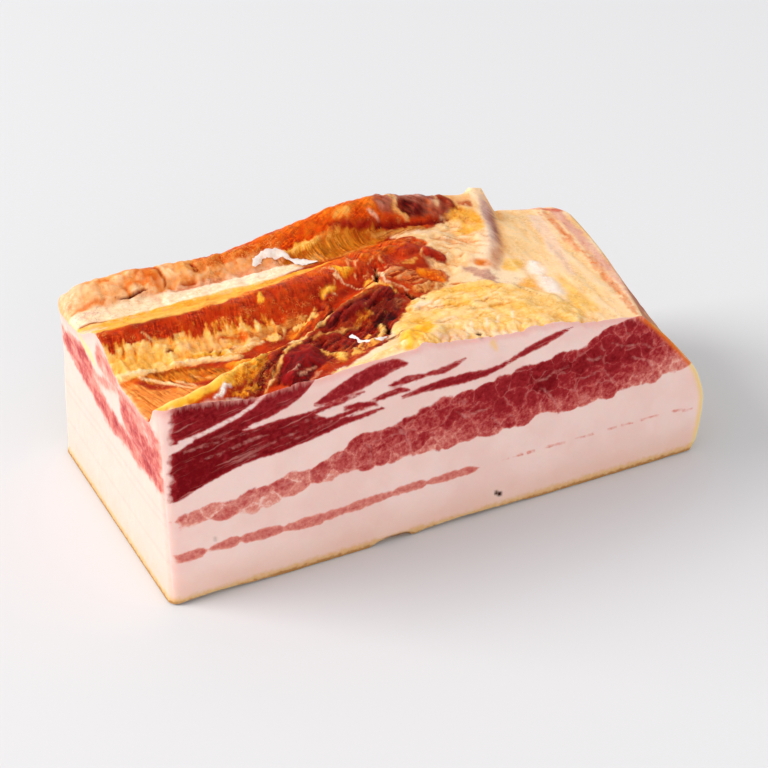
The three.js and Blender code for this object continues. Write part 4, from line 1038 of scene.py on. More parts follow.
def solve_outline(s, t):
    """Places of the top's grid, where the outline at the top's own height meets the shares s and t."""
    height = np.full(s.shape, USUAL_HEIGHT)
    for _ in range(OUTLINE_ROUNDS):
        x, y = outline(s, t, height)
        height = mix(height, base_top(x, y), OUTLINE_EASE)
    return x, y, height


def rim_cells():
    """The top grid's rim, from the front left corner along the front, right, back and left."""
    front = [(i, 0) for i in range(ALONG)]
    right = [(ALONG, j) for j in range(ACROSS)]
    back = [(i, ACROSS) for i in range(ALONG, 0, -1)]
    left = [(0, j) for j in range(ACROSS, 0, -1)]
    return np.array(front + right + back + left)


def build_skin():
    """One closed skin: a fine top, walls under its rim and an underside."""
    along = spread(ALONG)
    share_x, share_y = np.meshgrid(along, np.linspace(0, 1, ACROSS + 1))
    x, y, level = solve_outline(share_x, share_y)
    top = dress_top(x, y)
    top_points = np.stack([x, y, top.height], axis=-1).reshape(-1, 3)
    rim = rim_cells()
    count = len(rim)
    rim_top = rim[:, 1] * (ALONG + 1) + rim[:, 0]

    # Walls, row by row from the underside to the rim.
    shares = np.linspace(0, 1, UP + 1)[:, None]
    rim_s, rim_t = along[rim[:, 0]], rim[:, 1] / ACROSS
    wall_x, wall_y = outline(rim_s[None, :], rim_t[None, :], shares * level.ravel()[rim_top][None, :])
    floor_z = rind_height(wall_x[0], wall_y[0])
    wall_z = mix(floor_z[None, :], top.height.ravel()[rim_top][None, :], shares)
    side = np.arange(count)
    on_front = side <= ALONG
    on_left = side >= 2 * ALONG + ACROSS
    # A knife leaves the cut faces slightly wavy.
    inward = 0.25 * crumble(wall_x, wall_z, 9, 101) + 0.1 * crumble(wall_x, wall_z, 2.5, 111)
    fade = step(shares, 0, 0.1) * (1 - step(shares, 0.92, 1))
    wall_y = wall_y + np.where(on_front, (inward + 0.3) * fade, 0)
    inward = 0.25 * crumble(wall_y, wall_z, 9, 121) + 0.1 * crumble(wall_y, wall_z, 2.5, 131)
    wall_x = wall_x + np.where(on_left & (side > 2 * ALONG + ACROSS), (inward + 0.3) * fade, 0)
    # The smoked sides are lumpy, and their lean has shrunk back a little from the fat.
    shrunk = 0.7 * step(smoked_sides(wall_x, wall_y, wall_z)[0], -1.5, 1.5)
    rough = (np.abs(0.6 * crumble(wall_x + wall_y, wall_z, 7, 141)) + shrunk) * fade
    wall_x = wall_x - np.where(~on_front & ~on_left & (side < ALONG + ACROSS), rough, 0)
    wall_y = wall_y - np.where(~on_left & (side >= ALONG + ACROSS), rough, 0)
    wall_points = np.stack([wall_x, wall_y, wall_z], axis=-1)

    # The underside's own points, on a coarse grid inside the rim.
    under_i = np.arange(UNDER_STEP, ALONG, UNDER_STEP)
    under_j = np.arange(UNDER_STEP, ACROSS, UNDER_STEP)
    under_s, under_t = np.meshgrid(along[under_i], under_j / ACROSS)
    under_x, under_y = outline(under_s, under_t, np.zeros_like(under_s))
    under_points = np.stack([under_x, under_y, rind_height(under_x, under_y)], axis=-1).reshape(-1, 3)

    wall_start = len(top_points)
    under_start = wall_start + UP * count
    points = np.concatenate([top_points, wall_points[:UP].reshape(-1, 3), under_points])

    def wall_index(column, row):
        column = column % count
        return rim_top[column] if row == UP else wall_start + row * count + column

    faces, kinds = [], []
    grid = np.arange(len(top_points)).reshape(ACROSS + 1, ALONG + 1)
    quads = np.stack([grid[:-1, :-1], grid[:-1, 1:], grid[1:, 1:], grid[1:, :-1]], axis=-1).reshape(-1, 4)
    faces.extend(quads.tolist())
    kinds.extend([TOP] * len(quads))
    for column in range(count):
        fresh = column < ALONG or column >= 2 * ALONG + ACROSS
        rows = range(UP + 1) if fresh else SMOKED_ROWS
        # Beside a fresh cut, a smoked cell takes in the cut's extra points.
        extra_left = not fresh and column == ALONG
        extra_right = not fresh and column == 2 * ALONG + ACROSS - 1
        for low, high in zip(rows, rows[1:]):
            right_side = range(low, high + 1, 1 if extra_right else high - low)
            left_side = range(high, low - 1, -1 if extra_left else low - high)
            face = [wall_index(column + 1, row) for row in right_side]
            faces.append(face + [wall_index(column, row) for row in left_side])
            kinds.append(FRESH_CUT if fresh else SMOKED_CUT)

    rim_number = {tuple(cell): number for number, cell in enumerate(rim.tolist())}

    def under_index(i, j):
        if (i, j) in rim_number:
            return wall_index(rim_number[(i, j)], 0)
        return under_start + (j // UNDER_STEP - 1) * len(under_i) + i // UNDER_STEP - 1

    def under_edge(start, end):
        """The points from one corner of a coarse cell to the next, without the last one."""
        (i0, j0), (i1, j1) = start, end
        on_rim = (j0 == j1 and j0 in (0, ACROSS)) or (i0 == i1 and i0 in (0, ALONG))
        if not on_rim:
            return [under_index(i0, j0)]
        di, dj = (i1 - i0) // UNDER_STEP, (j1 - j0) // UNDER_STEP
        return [under_index(i0 + di * n, j0 + dj * n) for n in range(UNDER_STEP)]

    for j in range(0, ACROSS, UNDER_STEP):
        for i in range(0, ALONG, UNDER_STEP):
            corners = [(i, j), (i, j + UNDER_STEP), (i + UNDER_STEP, j + UNDER_STEP), (i + UNDER_STEP, j)]
            faces.append([p for a, b in zip(corners, corners[1:] + corners[:1]) for p in under_edge(a, b)])
            kinds.append(RIND)

    # Fields that the cut faces' materials read, and the tints, wetness, flecks and grain of the smoked top.
    total = len(points)
    names = ("lean_mm", "tone", "lobed", "seam_mm", "crust_mm", "rim_mm", "dark_marks", "bright", "wet", "fleck")
    fields = {name: np.zeros(total) for name in names}
    tint, vein = np.ones((total, 4)), np.ones((total, 4))
    tint[: len(top_points), :3] = top.tint.reshape(-1, 3)
    vein[: len(top_points), :3] = top.vein.reshape(-1, 3)
    fields["wet"][: len(top_points)] = top.wet.ravel()
    fields["wet"][wall_start:] = FAT_WET
    fields["fleck"][: len(top_points)] = top.fleck.ravel()
    grain = np.zeros((total, 3))
    grain[: len(top_points)] = top.grain.reshape(-1, 3)
    front = cut_front(wall_x, wall_z)
    left = cut_left(wall_y, wall_z)
    smoked = smoked_sides(wall_x, wall_y, wall_z)
    below_top = top.height.ravel()[rim_top][None, :] - wall_z
    end = outline(np.ones_like(rim_s)[None, :], rim_t[None, :], shares * level.ravel()[rim_top][None, :])[0]
    crust = np.where(on_front, end - wall_x, NO_CRUST)
    crust = np.minimum(crust, DRIP_EDGE - ribbon(wall_x, wall_z, YELLOW_DRIP))
    crust = np.where(on_left, FOLD_EDGE - ribbon(wall_y, wall_z, LEFT_FOLD), crust)
    seam = np.where(on_left, deepest(wall_y, wall_z, LEFT_SEAMS), deepest(wall_x, wall_z, PALE_SEAMS))
    seam = np.where(on_front | on_left, seam, NO_SEAM)
    # Painted shadow in the gap under the lifted rind, and dark specks.
    dark_marks = step(ribbon(wall_x, wall_z, RIND_GAP_SHADOW), -0.4, 0.3)
    for x_at, z_at, width, dark in SPECKS:
        away = np.hypot(wall_x - x_at, wall_z - z_at)
        dark_marks = np.maximum(dark_marks, dark * step(width / 2 - away, -0.4, 0.3))
    left_stain = step(ribbon(wall_y, wall_z, LEFT_SPECK), -0.4, 0.4)
    dark_marks = np.where(on_front, dark_marks, np.where(on_left, left_stain, 0))
    lean, tone, lobed = [
        np.where(on_left, of_left, np.where(on_front, of_front, of_smoked))
        for of_front, of_left, of_smoked in zip(front, left, smoked)
    ]
    # On the left end the lower layers of lean are only a faint blush.
    for level_z, reach in FAINT_STREAKS:
        blush = BLUSH + np.abs(wall_z - level_z) / reach
        below_top = np.where(on_left, np.minimum(below_top, blush), below_top)
    # The field bright marks the brightly lit left end, where its fat gets painted shade.
    cut_fields = {"lean_mm": lean, "tone": tone, "lobed": lobed, "seam_mm": seam, "crust_mm": crust,
                  "rim_mm": below_top, "dark_marks": dark_marks, "bright": 1.0 * (on_left & (wall_x < LEFT + 2))}
    for name, values in cut_fields.items():
        fields[name][wall_start:under_start] = values[:UP].ravel()
        fields[name][rim_top] = values[UP]
    return points, faces, kinds, fields, {"tint": tint, "vein": vein}, grain, top


def make_mesh(name, points, faces, materials, kinds=None, sharp=None):
    """A mesh object in metres from points in millimetres, without the points that no face uses."""
    used = np.unique(np.concatenate([np.asarray(face) for face in faces]))
    place = np.full(len(points), -1)
    place[used] = np.arange(len(used))
    mesh = bpy.data.meshes.new(name)
    mesh.from_pydata((points[used] * MM).tolist(), [], [place[face].tolist() for face in faces])
    for material in materials:
        mesh.materials.append(material)
    if kinds is not None:
        mesh.polygons.foreach_set("material_index", kinds)
    mesh.polygons.foreach_set("use_smooth", [True] * len(mesh.polygons))
    if sharp is not None:
        mesh.set_sharp_from_angle(angle=math.radians(sharp))
    piece = bpy.data.objects.new(name, mesh)
    bpy.context.scene.collection.objects.link(piece)
    return piece, used


# Settings that nodes share.
SCALE = {"operation": "SCALE"}
SMOOTH = {"interpolation_type": "SMOOTHSTEP", "clamp": True}
COLOURS = {"data_type": "RGBA", "clamp_factor": True}
TO_EDGE = {"feature": "DISTANCE_TO_EDGE"}


class Nodes:
    """A material's shader and the nodes that feed it, with short ways to add those that recur."""

    def __init__(self, name):
        self.material = bpy.data.materials.new(name)
        self.material.use_nodes = True
        self.tree = self.material.node_tree
        self.tree.nodes.clear()
        self.shader = self.add("BsdfPrincipled")
        self.add("OutputMaterial", Surface=self.shader.outputs[0])

    def feed(self, node, links):
        """Feeds a node with links or values, by a socket's name, or by s and its number."""
        for name, value in links.items():
            key = int(name[1:]) if name[1:].isdigit() else name.replace("_", " ")
            socket = node.inputs[key]
            if isinstance(value, bpy.types.NodeSocket):
                self.tree.links.new(value, socket)
            else:
                socket.default_value = value

    def add(self, kind, settings=None, **links):
        """Adds a node with its settings, and feeds it."""
        made = self.tree.nodes.new("ShaderNode" + kind)
        for name, value in (settings or {}).items():
            setattr(made, name, value)
        self.feed(made, links)
        return made

    def finish(self, **links):
        """Feeds the shader, and returns the material."""
        self.feed(self.shader, links)
        return self.material

    @cached_property
    def mm(self):
        """Places on the surface, in millimetres."""
        where = self.add("TexCoord").outputs["Object"]
        return self.add("VectorMath", SCALE, s0=where, Scale=1 / MM).outputs[0]

    def field(self, name, output="Fac"):
        """A field that the mesh carries."""
        return self.add("Attribute", {"attribute_name": name}).outputs[output]

    def noise(self, size, detail, output="Fac", **more):
        """Noise of a size in millimetres, over the surface unless a Vector is given."""
        links = {"Vector": self.mm, "Scale": 1 / size, "Detail": detail, **more}
        return self.add("TexNoise", **links).outputs[output]

    def math(self, operation, *values, kind="Math", output=0):
        """One operation on up to three values."""
        links = {f"s{number}": value for number, value in enumerate(values)}
        return self.add(kind, {"operation": operation}, **links).outputs[output]

    def vector(self, operation, *values, output=0):
        """One operation on up to three vectors."""
        return self.math(operation, *values, kind="VectorMath", output=output)

    def ease(self, value, start, end, low=0.0, high=1.0, settings=SMOOTH):
        """Goes smoothly from low to high while a value goes from start to end."""
        return self.add("MapRange", settings, Value=value, s1=start, s2=end, s3=low, s4=high).outputs[0]

    def span(self, *values):
        """Does what ease does, but evenly."""
        return self.ease(*values, settings=None)

    def blend(self, share, first, second):
        """From the first colour to the second by a share."""
        return self.add("Mix", COLOURS, s0=share, s6=first, s7=second).outputs[2]

    def bump(self, height, strength, distance):
        """Small relief, with its distance in metres."""
        return self.add("Bump", Height=height, Strength=strength, Distance=distance).outputs[0]


def colour(code):
    """A hex colour as nodes take it."""
    return (*linear(code), 1.0)


# Fresh-cut pork is moist and pink with crimson lean, and smoked pork is golden with red-brown lean.
FRESH = {
    "name": "fresh_cut_pork",
    "lean": ((0.0, "#ECC0B3"), (0.16, "#DD8F80"), (0.38, "#C05853"), (0.64, "#9C2228"), (1.0, "#72020B")),
    "seam": "#DE9A90", "fat": ("#EFD2CA", "#EBC9C0"), "low": "#E2B7A2", "under_top": "#E0A79E",
    "fray": "#E2A79A", "smoke": 0.0, "sinks": 0.6,
}
SMOKED = {
    "name": "smoked_cut_pork",
    "lean": ((0.0, "#E2A46C"), (0.16, "#CB7438"), (0.38, "#AE4E1E"), (0.64, "#8A2E10"), (1.0, "#5E1408")),
    "seam": "#D0894C", "fat": ("#F4D0A0", "#E8B878"), "low": "#D8A460", "under_top": "#C4702E",
    "fray": "#DC9650", "smoke": 0.32, "sinks": 0.2,
}


def cut_pork(look):
    """Cut cured pork: fat in soft clouds that light sinks into, and lean in lobes with pale seams."""
    nodes = Nodes(look["name"])
    mm = nodes.mm
    field = {
        name: nodes.field(name)
        for name in ("lean_mm", "tone", "lobed", "seam_mm", "crust_mm", "rim_mm", "dark_marks", "bright")
    }
    # The edge of the lean wanders by half a millimetre, and is scalloped where it is lobed.
    stray = nodes.noise(1.6, 4.0)
    stray = nodes.math("SUBTRACT", stray, 0.5)
    wander = nodes.noise(4.0, 4.0, "Color")
    bent = nodes.vector("MULTIPLY_ADD", wander, (4.4, 4.4, 4.4), mm)
    lobes = nodes.add("TexVoronoi", {"feature": "F1"}, Vector=bent, Scale=1 / 6.0)
    scallop = nodes.math("SUBTRACT", 0.42, lobes.outputs["Distance"])
    scallop = nodes.math("MULTIPLY", scallop, field["lobed"])
    depth = nodes.math("ADD", field["lean_mm"], stray)
    depth = nodes.math("MULTIPLY_ADD", scallop, 2.6, depth)
    lean = nodes.ease(depth, -0.4, 0.3)
    # Lobes: each fades towards its edge, and thin seams between them widen and run out here and there.
    gap = nodes.add("TexVoronoi", TO_EDGE, Vector=bent, Scale=1 / 6.0).outputs["Distance"]
    wide = nodes.noise(4.0, 3.0)
    wide = nodes.span(wide, 0.5, 0.76, 0.01, 0.2)
    fine = nodes.ease(gap, wide, 0.0, 0.0, 0.22)
    fine = nodes.math("MULTIPLY", fine, field["lobed"])
    fades = nodes.ease(gap, 0.2, 0.0)
    small = nodes.add("TexVoronoi", TO_EDGE, Vector=bent, Scale=1 / 2.3).outputs["Distance"]
    small = nodes.ease(small, 0.2, 0.0, 0.0, 0.5)
    fades = nodes.math("ADD", fades, small)
    fades = nodes.math("MULTIPLY", fades, field["lobed"])
    # Streaks along the lean that has no lobes, which rises a little to the right.
    swayed = nodes.vector("MULTIPLY_ADD", wander, (1.8, 1.8, 1.8), mm)
    long = nodes.add("Mapping", {"vector_type": "TEXTURE"}, Vector=swayed,
            Rotation=(0.0, math.radians(-12), 0.0), Scale=(15.0, 15.0, 1.0)).outputs[0]
    streak = nodes.noise(1.1, 5.0, Vector=long)
    streak = nodes.ease(streak, 0.57, 0.75, 0.0, 0.42)
    apart = nodes.math("SUBTRACT", 1.0, field["lobed"])
    streak = nodes.math("MULTIPLY", streak, apart)
    fine = nodes.math("MAXIMUM", fine, streak)
    # The larger seams.
    seam = nodes.math("MULTIPLY_ADD", stray, 2.2, field["seam_mm"])
    seam = nodes.ease(seam, -0.3, 1.0, 0.0, 0.52)
    seam = nodes.math("MAXIMUM", seam, fine)
    # Lean: crimson, paler by its tone, each lobe its own shade, and mottled by its fibres.
    own = nodes.add("SeparateColor", Color=lobes.outputs["Color"]).outputs[0]
    own = nodes.math("SUBTRACT", own, 0.5)
    own = nodes.math("MULTIPLY", own, field["lobed"])
    fibre = nodes.noise(1.3, 6.0, Roughness=0.7)
    fibre = nodes.math("SUBTRACT", 0.5, fibre)
    lively = nodes.span(field["tone"], 0.1, 0.5, 0.35, 1.1)
    fibre = nodes.math("MULTIPLY", fibre, lively)
    tone = nodes.math("MULTIPLY_ADD", own, 0.24, field["tone"])
    tone = nodes.math("MULTIPLY_ADD", fades, -0.12, tone)
    tone = nodes.math("ADD", fibre, tone)
    # It turns paler towards its own edge.
    inner = nodes.ease(depth, -0.3, 1.0, 0.55, 1.0)
    tone = nodes.math("MULTIPLY", tone, inner)
    ramp = nodes.add("ValToRGB", Fac=tone)
    while len(ramp.color_ramp.elements) < len(look["lean"]):
        ramp.color_ramp.elements.new(0.5)
    for element, (at, code) in zip(ramp.color_ramp.elements, look["lean"]):
        element.position = at
        element.color = colour(code)
    meat = nodes.blend(seam, ramp.outputs[0], colour(look["seam"]))
    # Fat: pinkish white, in soft clouds, and warmer towards the rind.
    cloud = nodes.noise(14.0, 4.0)
    cloud = nodes.ease(cloud, 0.35, 0.65)
    fat = [colour(code) for code in look["fat"]]
    fat = nodes.blend(cloud, fat[0], fat[1])
    # The left end faces the window, so its fat is given painted shade:
    # a deeper tint that holds back the full light on it.
    fat = nodes.blend(field["bright"], fat, colour("#DFC2B6"))
    height = nodes.add("SeparateXYZ", Vector=mm).outputs["Z"]
    low = nodes.ease(height, 14.0, 0.0, 0.0, 0.6)
    fat = nodes.blend(low, fat, colour(look["low"]))
    # The fat blushes under the smoked top.
    blush = nodes.math("ADD", field["rim_mm"], stray)
    blush = nodes.ease(blush, 3.2, 0.4, 0.0, 0.55)
    fat = nodes.blend(blush, fat, colour(look["under_top"]))
    base = nodes.blend(lean, fat, meat)
    # Smoked skin of the right end, seen end on: yellow on the fat and orange on the lean.
    edge = nodes.math("ADD", field["crust_mm"], stray)
    edge = nodes.ease(edge, 2.8, 0.8, 0.0, 0.85)
    crust = nodes.blend(lean, colour("#EFC988"), colour("#DC6A22"))
    base = nodes.blend(edge, base, crust)
    # Pale frayed fibres hang down over the lean from the top edge.
    upright = nodes.vector("MULTIPLY", mm, (1.0, 1.0, 0.2))
    fray = nodes.noise(1.2, 5.0, Vector=upright, Roughness=0.65)
    fray = nodes.math("MULTIPLY", fray, 7.0)
    fray = nodes.math("SUBTRACT", fray, field["rim_mm"])
    fray = nodes.ease(fray, 1.4, 4.8, 0.0, 0.7)
    fray = nodes.math("MULTIPLY", fray, lean)
    base = nodes.blend(fray, base, colour(look["fray"]))
    # Brown clouds of smoke.
    smoke = nodes.noise(18.0, 5.0, Roughness=0.6)
    smoke = nodes.ease(smoke, 0.42, 0.68, 0.0, look["smoke"])
    base = nodes.blend(smoke, base, colour("#A8602A"))
    # Rind seen end on, brown below and tan above, dark specks, and painted shadow in the gap under the lifted
    # rind.
    under = nodes.math("MULTIPLY_ADD", stray, 2.4, height)
    tan = nodes.ease(under, 3.4, 1.4, 0.0, 0.8)
    brown = nodes.ease(under, 1.5, 0.6, 0.0, 0.85)
    for share, code in ((tan, "#D9AA68"), (brown, "#A8703C"), (field["dark_marks"], "#3A160C")):
        base = nodes.blend(share, base, colour(code))
    gloss = nodes.ease(lean, 0.0, 1.0, 0.5, 0.42)
    pitted = nodes.noise(0.9, 4.0)
    bump = nodes.bump(pitted, 0.35, 0.0003)
    return nodes.finish(Base_Color=base, Roughness=gloss, Normal=bump, IOR=1.42, Specular_IOR_Level=0.06,
            Subsurface_Weight=look["sinks"], Subsurface_Radius=(1.0, 0.45, 0.3), Subsurface_Scale=0.004)


def smoked_crust():
    """Smoked crust: golden fat and red-brown lean under a thin greasy skin, tinted place by place."""
    nodes = Nodes("smoked_crust")
    mm = nodes.mm
    tint = nodes.field("tint", "Color")
    wet = nodes.field("wet")
    freckle = nodes.noise(1.1, 6.0, Roughness=0.7)
    # The grain of the meat: fine fibres along the direction that each place has.
    grain = nodes.field("grain", "Vector")
    strong = nodes.vector("LENGTH", grain, output="Value")
    along = nodes.vector("NORMALIZE", grain)
    beside = nodes.vector("CROSS_PRODUCT", along, (0.0, 0.0, 1.0))
    u = nodes.vector("DOT_PRODUCT", mm, along, output="Value")
    v = nodes.vector("DOT_PRODUCT", mm, beside, output="Value")
    u = nodes.math("MULTIPLY", u, 1 / 6.0)
    v = nodes.math("MULTIPLY", v, 1 / 0.7)
    thread = nodes.add("CombineXYZ", X=u, Y=v).outputs[0]
    fibre = nodes.noise(1.0, 4.0, Vector=thread, Roughness=0.6)
    fibre = nodes.span(fibre, 0.3, 0.7, -0.5, 0.5)
    fibre = nodes.math("MULTIPLY", fibre, strong)
    # Freckles of about a millimetre, stronger on the lean, which is the wetter of the two.
    stronger = nodes.span(wet, 0.4, 0.7, 0.2, 0.6)
    mottle = nodes.span(freckle, 0.3, 0.7, -0.5, 0.5)
    mottle = nodes.math("MULTIPLY", mottle, stronger)
    bright = nodes.math("ADD", fibre, mottle)
    # Sharp little creases, sunk by the bump and tinted darker: painted shade in them.
    fold = nodes.noise(3.2, 3.0, Roughness=0.6, Distortion=0.4)
    fold = nodes.math("SUBTRACT", fold, 0.5)
    fold = nodes.math("ABSOLUTE", fold)
    crease = nodes.span(fold, 0.022, 0.0)
    here = nodes.noise(7.0, 2.0)
    here = nodes.ease(here, 0.45, 0.65)
    crease = nodes.math("MULTIPLY", crease, here)
    bright = nodes.math("MULTIPLY_ADD", crease, -0.25, bright)
    bright = nodes.math("ADD", bright, 1.04)
    # Each place has two tints, which lie in veins and specks beside each other.
    vein = nodes.field("vein", "Color")
    lies = nodes.math("ADD", freckle, fibre)
    lies = nodes.ease(lies, 0.49, 0.6, 0.0, 0.8)
    base = nodes.blend(lies, tint, vein)
    base = nodes.add("VectorMath", SCALE, s0=base, Scale=bright).outputs[0]
    # Thin threads of amber fat over the lean.
    fleck = nodes.field("fleck")
    net = nodes.noise(2.2, 3.0, Roughness=0.7, Distortion=0.6)
    net = nodes.math("SUBTRACT", net, 0.5)
    net = nodes.math("ABSOLUTE", net)
    net = nodes.ease(net, 0.03, 0.006)
    torn = nodes.noise(3.0, 2.0)
    torn = nodes.math("ADD", torn, fleck)
    torn = nodes.ease(torn, 0.74, 1.15)
    net = nodes.math("MULTIPLY", net, torn)
    base = nodes.blend(net, base, colour("#EA9648"))
    dull = nodes.span(wet, 0.2, 0.8, 0.54, 0.22)
    uneven = nodes.span(freckle, 0.3, 0.7, -0.08, 0.08)
    rough = nodes.math("ADD", dull, uneven)
    grit = nodes.noise(0.9, 6.0, Roughness=0.65)
    grit = nodes.math("ADD", grit, fibre)
    grit = nodes.math("ADD", grit, net)
    grit = nodes.math("SUBTRACT", grit, crease)
    bump = nodes.bump(grit, 0.4, 0.0004)
    return nodes.finish(Base_Color=base, Roughness=rough, Normal=bump, IOR=1.45, Specular_IOR_Level=0.06,
            Subsurface_Weight=0.12, Subsurface_Radius=(1.0, 0.5, 0.25), Subsurface_Scale=0.0012)


def pork_rind():
    """Smoked rind: tough tan skin, with pores and brown smoke stains."""
    nodes = Nodes("smoked_rind")
    dark_marks = nodes.noise(12.0, 5.0)
    dark_marks = nodes.ease(dark_marks, 0.35, 0.7)
    base = nodes.blend(dark_marks, colour("#DDB27A"), colour("#A8672E"))
    pore = nodes.add("TexVoronoi", Vector=nodes.mm, Scale=1 / 2.2).outputs["Distance"]
    bump = nodes.bump(pore, 0.4, 0.0004)
    return nodes.finish(Base_Color=base, Roughness=0.5, Normal=bump, IOR=1.45)


def membrane():
    """Silverskin: a thin white shred of membrane, moist and a little see-through."""
    nodes = Nodes("silverskin")
    vein = nodes.noise(2.0, 4.0)
    vein = nodes.ease(vein, 0.4, 0.7)
    base = nodes.blend(vein, colour("#FAF0E8"), colour("#F0D6C8"))
    bump = nodes.bump(vein, 0.3, 0.0002)
    return nodes.finish(Base_Color=base, Roughness=0.38, Normal=bump, IOR=1.42, Subsurface_Weight=0.4,
            Subsurface_Radius=(1.0, 0.7, 0.5), Subsurface_Scale=0.001)


def pale_floor():
    """Matt white studio floor."""
    return Nodes("matt_white").finish(Base_Color=colour("#DCDDDF"), Roughness=0.9)


# Half the floor's side and its level in millimetres, and how bright the surround is.
FLOOR_HALF, FLOOR_LEVEL, SURROUND = 3000.0, -0.1, 0.69
# Lamps in metres and watts, as name, place, size, power and colour, and the place they are aimed at.
LAMPS = (
    ("window", (-4.0, 1.8, 2.5), 3.2, 262.0, "#FFFCF8"),
    ("fill", (-0.5, -1.9, 0.6), 1.2, 10.0, "#FFFCF8"),
)
LAMPS_AIM = (0.0, 0.0, 0.03)


def add_stage():
    """Pale floor, soft light from the left and a bright white surround."""
    signs = ((-1, -1), (1, -1), (1, 1), (-1, 1))
    corners = np.array([(i * FLOOR_HALF, j * FLOOR_HALF, FLOOR_LEVEL) for i, j in signs])
    floor, _ = make_mesh("floor", corners, [[0, 1, 2, 3]], [pale_floor()])
    world = bpy.data.worlds.new("surround")
    world.use_nodes = True
    surround = world.node_tree.nodes["Background"]
    surround.inputs["Color"].default_value = colour("#FDFDFF")
    surround.inputs["Strength"].default_value = SURROUND
    bpy.context.scene.world = world
    for name, place, size, power, warmth in LAMPS:
        lamp = bpy.data.lights.new(name, "AREA")
        lamp.size = size
        lamp.energy = power
        lamp.color = linear(warmth)
        holder = bpy.data.objects.new(name, lamp)
        holder.location = place
        aim = Vector(LAMPS_AIM) - Vector(place)
        holder.rotation_euler = aim.to_track_quat("-Z", "Y").to_euler()
        bpy.context.scene.collection.objects.link(holder)
    bpy.context.scene.view_settings.view_transform = "Standard"


# The camera's place in metres and the way it looks, and its lens and sensor in millimetres.
CAMERA_AT, CAMERA_LOOKS = (-0.20559, -0.3882, 0.27119), (0.4045, 0.7705, -0.4927)
LENS, SENSOR = 75, 36


def add_camera():
    """The photograph's view: from the front left and above."""
    lens = bpy.data.cameras.new("camera")
    lens.lens = LENS
    lens.sensor_width = SENSOR
    camera = bpy.data.objects.new("camera", lens)
    camera.location = CAMERA_AT
    ahead = Vector(CAMERA_LOOKS)
    camera.rotation_euler = ahead.to_track_quat("-Z", "Y").to_euler()
    bpy.context.scene.collection.objects.link(camera)
    bpy.context.scene.camera = camera


def add_skin():
    """The slab's skin, its four finishes and the fields that they read."""
    points, faces, kinds, fields, tints, grain, top = build_skin()
    materials = [smoked_crust(), cut_pork(FRESH), pork_rind(), cut_pork(SMOKED)]
    skin, used = make_mesh("bacon_slab", points, faces, materials, kinds, sharp=55)
    for name, values in fields.items():
        layer = skin.data.attributes.new(name, "FLOAT", "POINT")
        layer.data.foreach_set("value", values[used].astype(np.float32))
    for name, values in tints.items():
        layer = skin.data.attributes.new(name, "FLOAT_COLOR", "POINT")
        layer.data.foreach_set("color", values[used].astype(np.float32).ravel())
    grain_layer = skin.data.attributes.new("grain", "FLOAT_VECTOR", "POINT")
    grain_layer.data.foreach_set("vector", grain[used].astype(np.float32).ravel())
    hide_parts("fat_lower", "lean_streak", "lean_main", "fat_upper", "lean_ribs")
    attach(skin, "root")
    return top


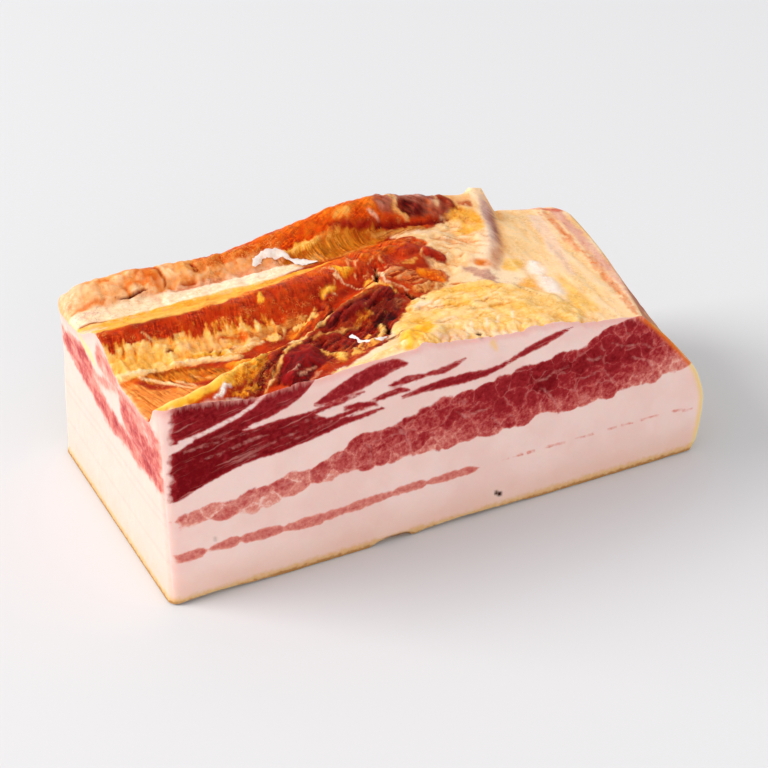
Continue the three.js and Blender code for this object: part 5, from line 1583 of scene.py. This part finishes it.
# Torn shreds of silverskin, as (x, y, lift, width, tilt) points.
FLAP = [
    (-32.4, 28.4, 0.3, 0.8, -20), (-31.0, 29.6, 0.5, 2.8, -30), (-29.2, 30.6, 0.6, 2.2, -40),
    (-26.8, 30.6, 0.7, 3.4, -40), (-24.2, 30.0, 0.7, 3.6, -35), (-22.2, 28.8, 0.7, 2.4, -30),
    (-20.6, 27.0, 0.7, 1.3, -20), (-18.4, 25.4, 0.7, 2.8, -15), (-16.0, 24.0, 0.6, 2.4, -10),
    (-13.4, 22.6, 0.3, 0.6, 0),
]
CURL = [
    (-25.4, -25.2, 0.3, 0.4, -20), (-26.6, -27.0, 0.6, 1.3, -40), (-26.0, -29.8, 0.8, 0.7, -50),
    (-26.6, -32.6, 0.7, 1.0, -40), (-25.0, -35.0, 0.6, 1.0, -30), (-22.0, -36.4, 0.5, 1.4, -30),
    (-19.6, -35.8, 0.3, 0.4, -10),
]


def surface_height(top, x, y):
    """Height of the dressed top at the grid point nearest to a place."""
    return top.height.ravel()[np.argmin((top.x - x) ** 2 + (top.y - y) ** 2)]


def add_shred(top, name, path, material, thick=0.35):
    """A torn strip along (x, y, lift, width, tilt) points: closed, flat and tapered, lying over the top."""
    spots = np.array(path, float)
    spots[:, 2] += [surface_height(top, x, y) for x, y in spots[:, :2]]
    t = np.linspace(0, 1, len(spots))
    fine = np.linspace(0, 1, 8 * len(spots))
    curves = [through(*zip(t, spots[:, k]))(fine) for k in range(5)]
    centre = np.stack(curves[:3], axis=-1)
    along = np.gradient(centre, axis=0)
    along /= np.linalg.norm(along, axis=1, keepdims=True)
    across = np.cross(along, (0, 0, 1))
    across /= np.linalg.norm(across, axis=1, keepdims=True)
    upward = np.cross(across, along)
    ring = np.linspace(0, 2 * math.pi, 12, endpoint=False)
    tilt = np.radians(curves[4])[:, None]
    edge = 1 + 0.25 * lumps(fine * 40, fine * 0, 1.0, 17)
    flat = (np.cos(ring)[None, :] * curves[3][:, None] / 2) * edge[:, None]
    tall = np.sin(ring)[None, :] * thick / 2 * np.ones_like(flat)
    u = flat * np.cos(tilt) - tall * np.sin(tilt)
    w = flat * np.sin(tilt) + tall * np.cos(tilt)
    points = centre[:, None, :] + u[..., None] * across[:, None, :] + w[..., None] * upward[:, None, :]
    rows, columns = points.shape[:2]
    index = np.arange(rows * columns).reshape(rows, columns)
    faces = []
    for row in range(rows - 1):
        for column in range(columns):
            after = (column + 1) % columns
            near, far = index[row], index[row + 1]
            faces.append([near[column], near[after], far[after], far[column]])
    faces.append(index[0, ::-1].tolist())
    faces.append(index[-1].tolist())
    shred, _ = make_mesh(name, points.reshape(-1, 3), faces, [material], sharp=70)
    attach(shred, "root")


add_camera()
skin_top = add_skin()
silverskin = membrane()
add_shred(skin_top, "silverskin_flap", FLAP, silverskin)
add_shred(skin_top, "silverskin_curl", CURL, silverskin, thick=0.25)
add_stage()
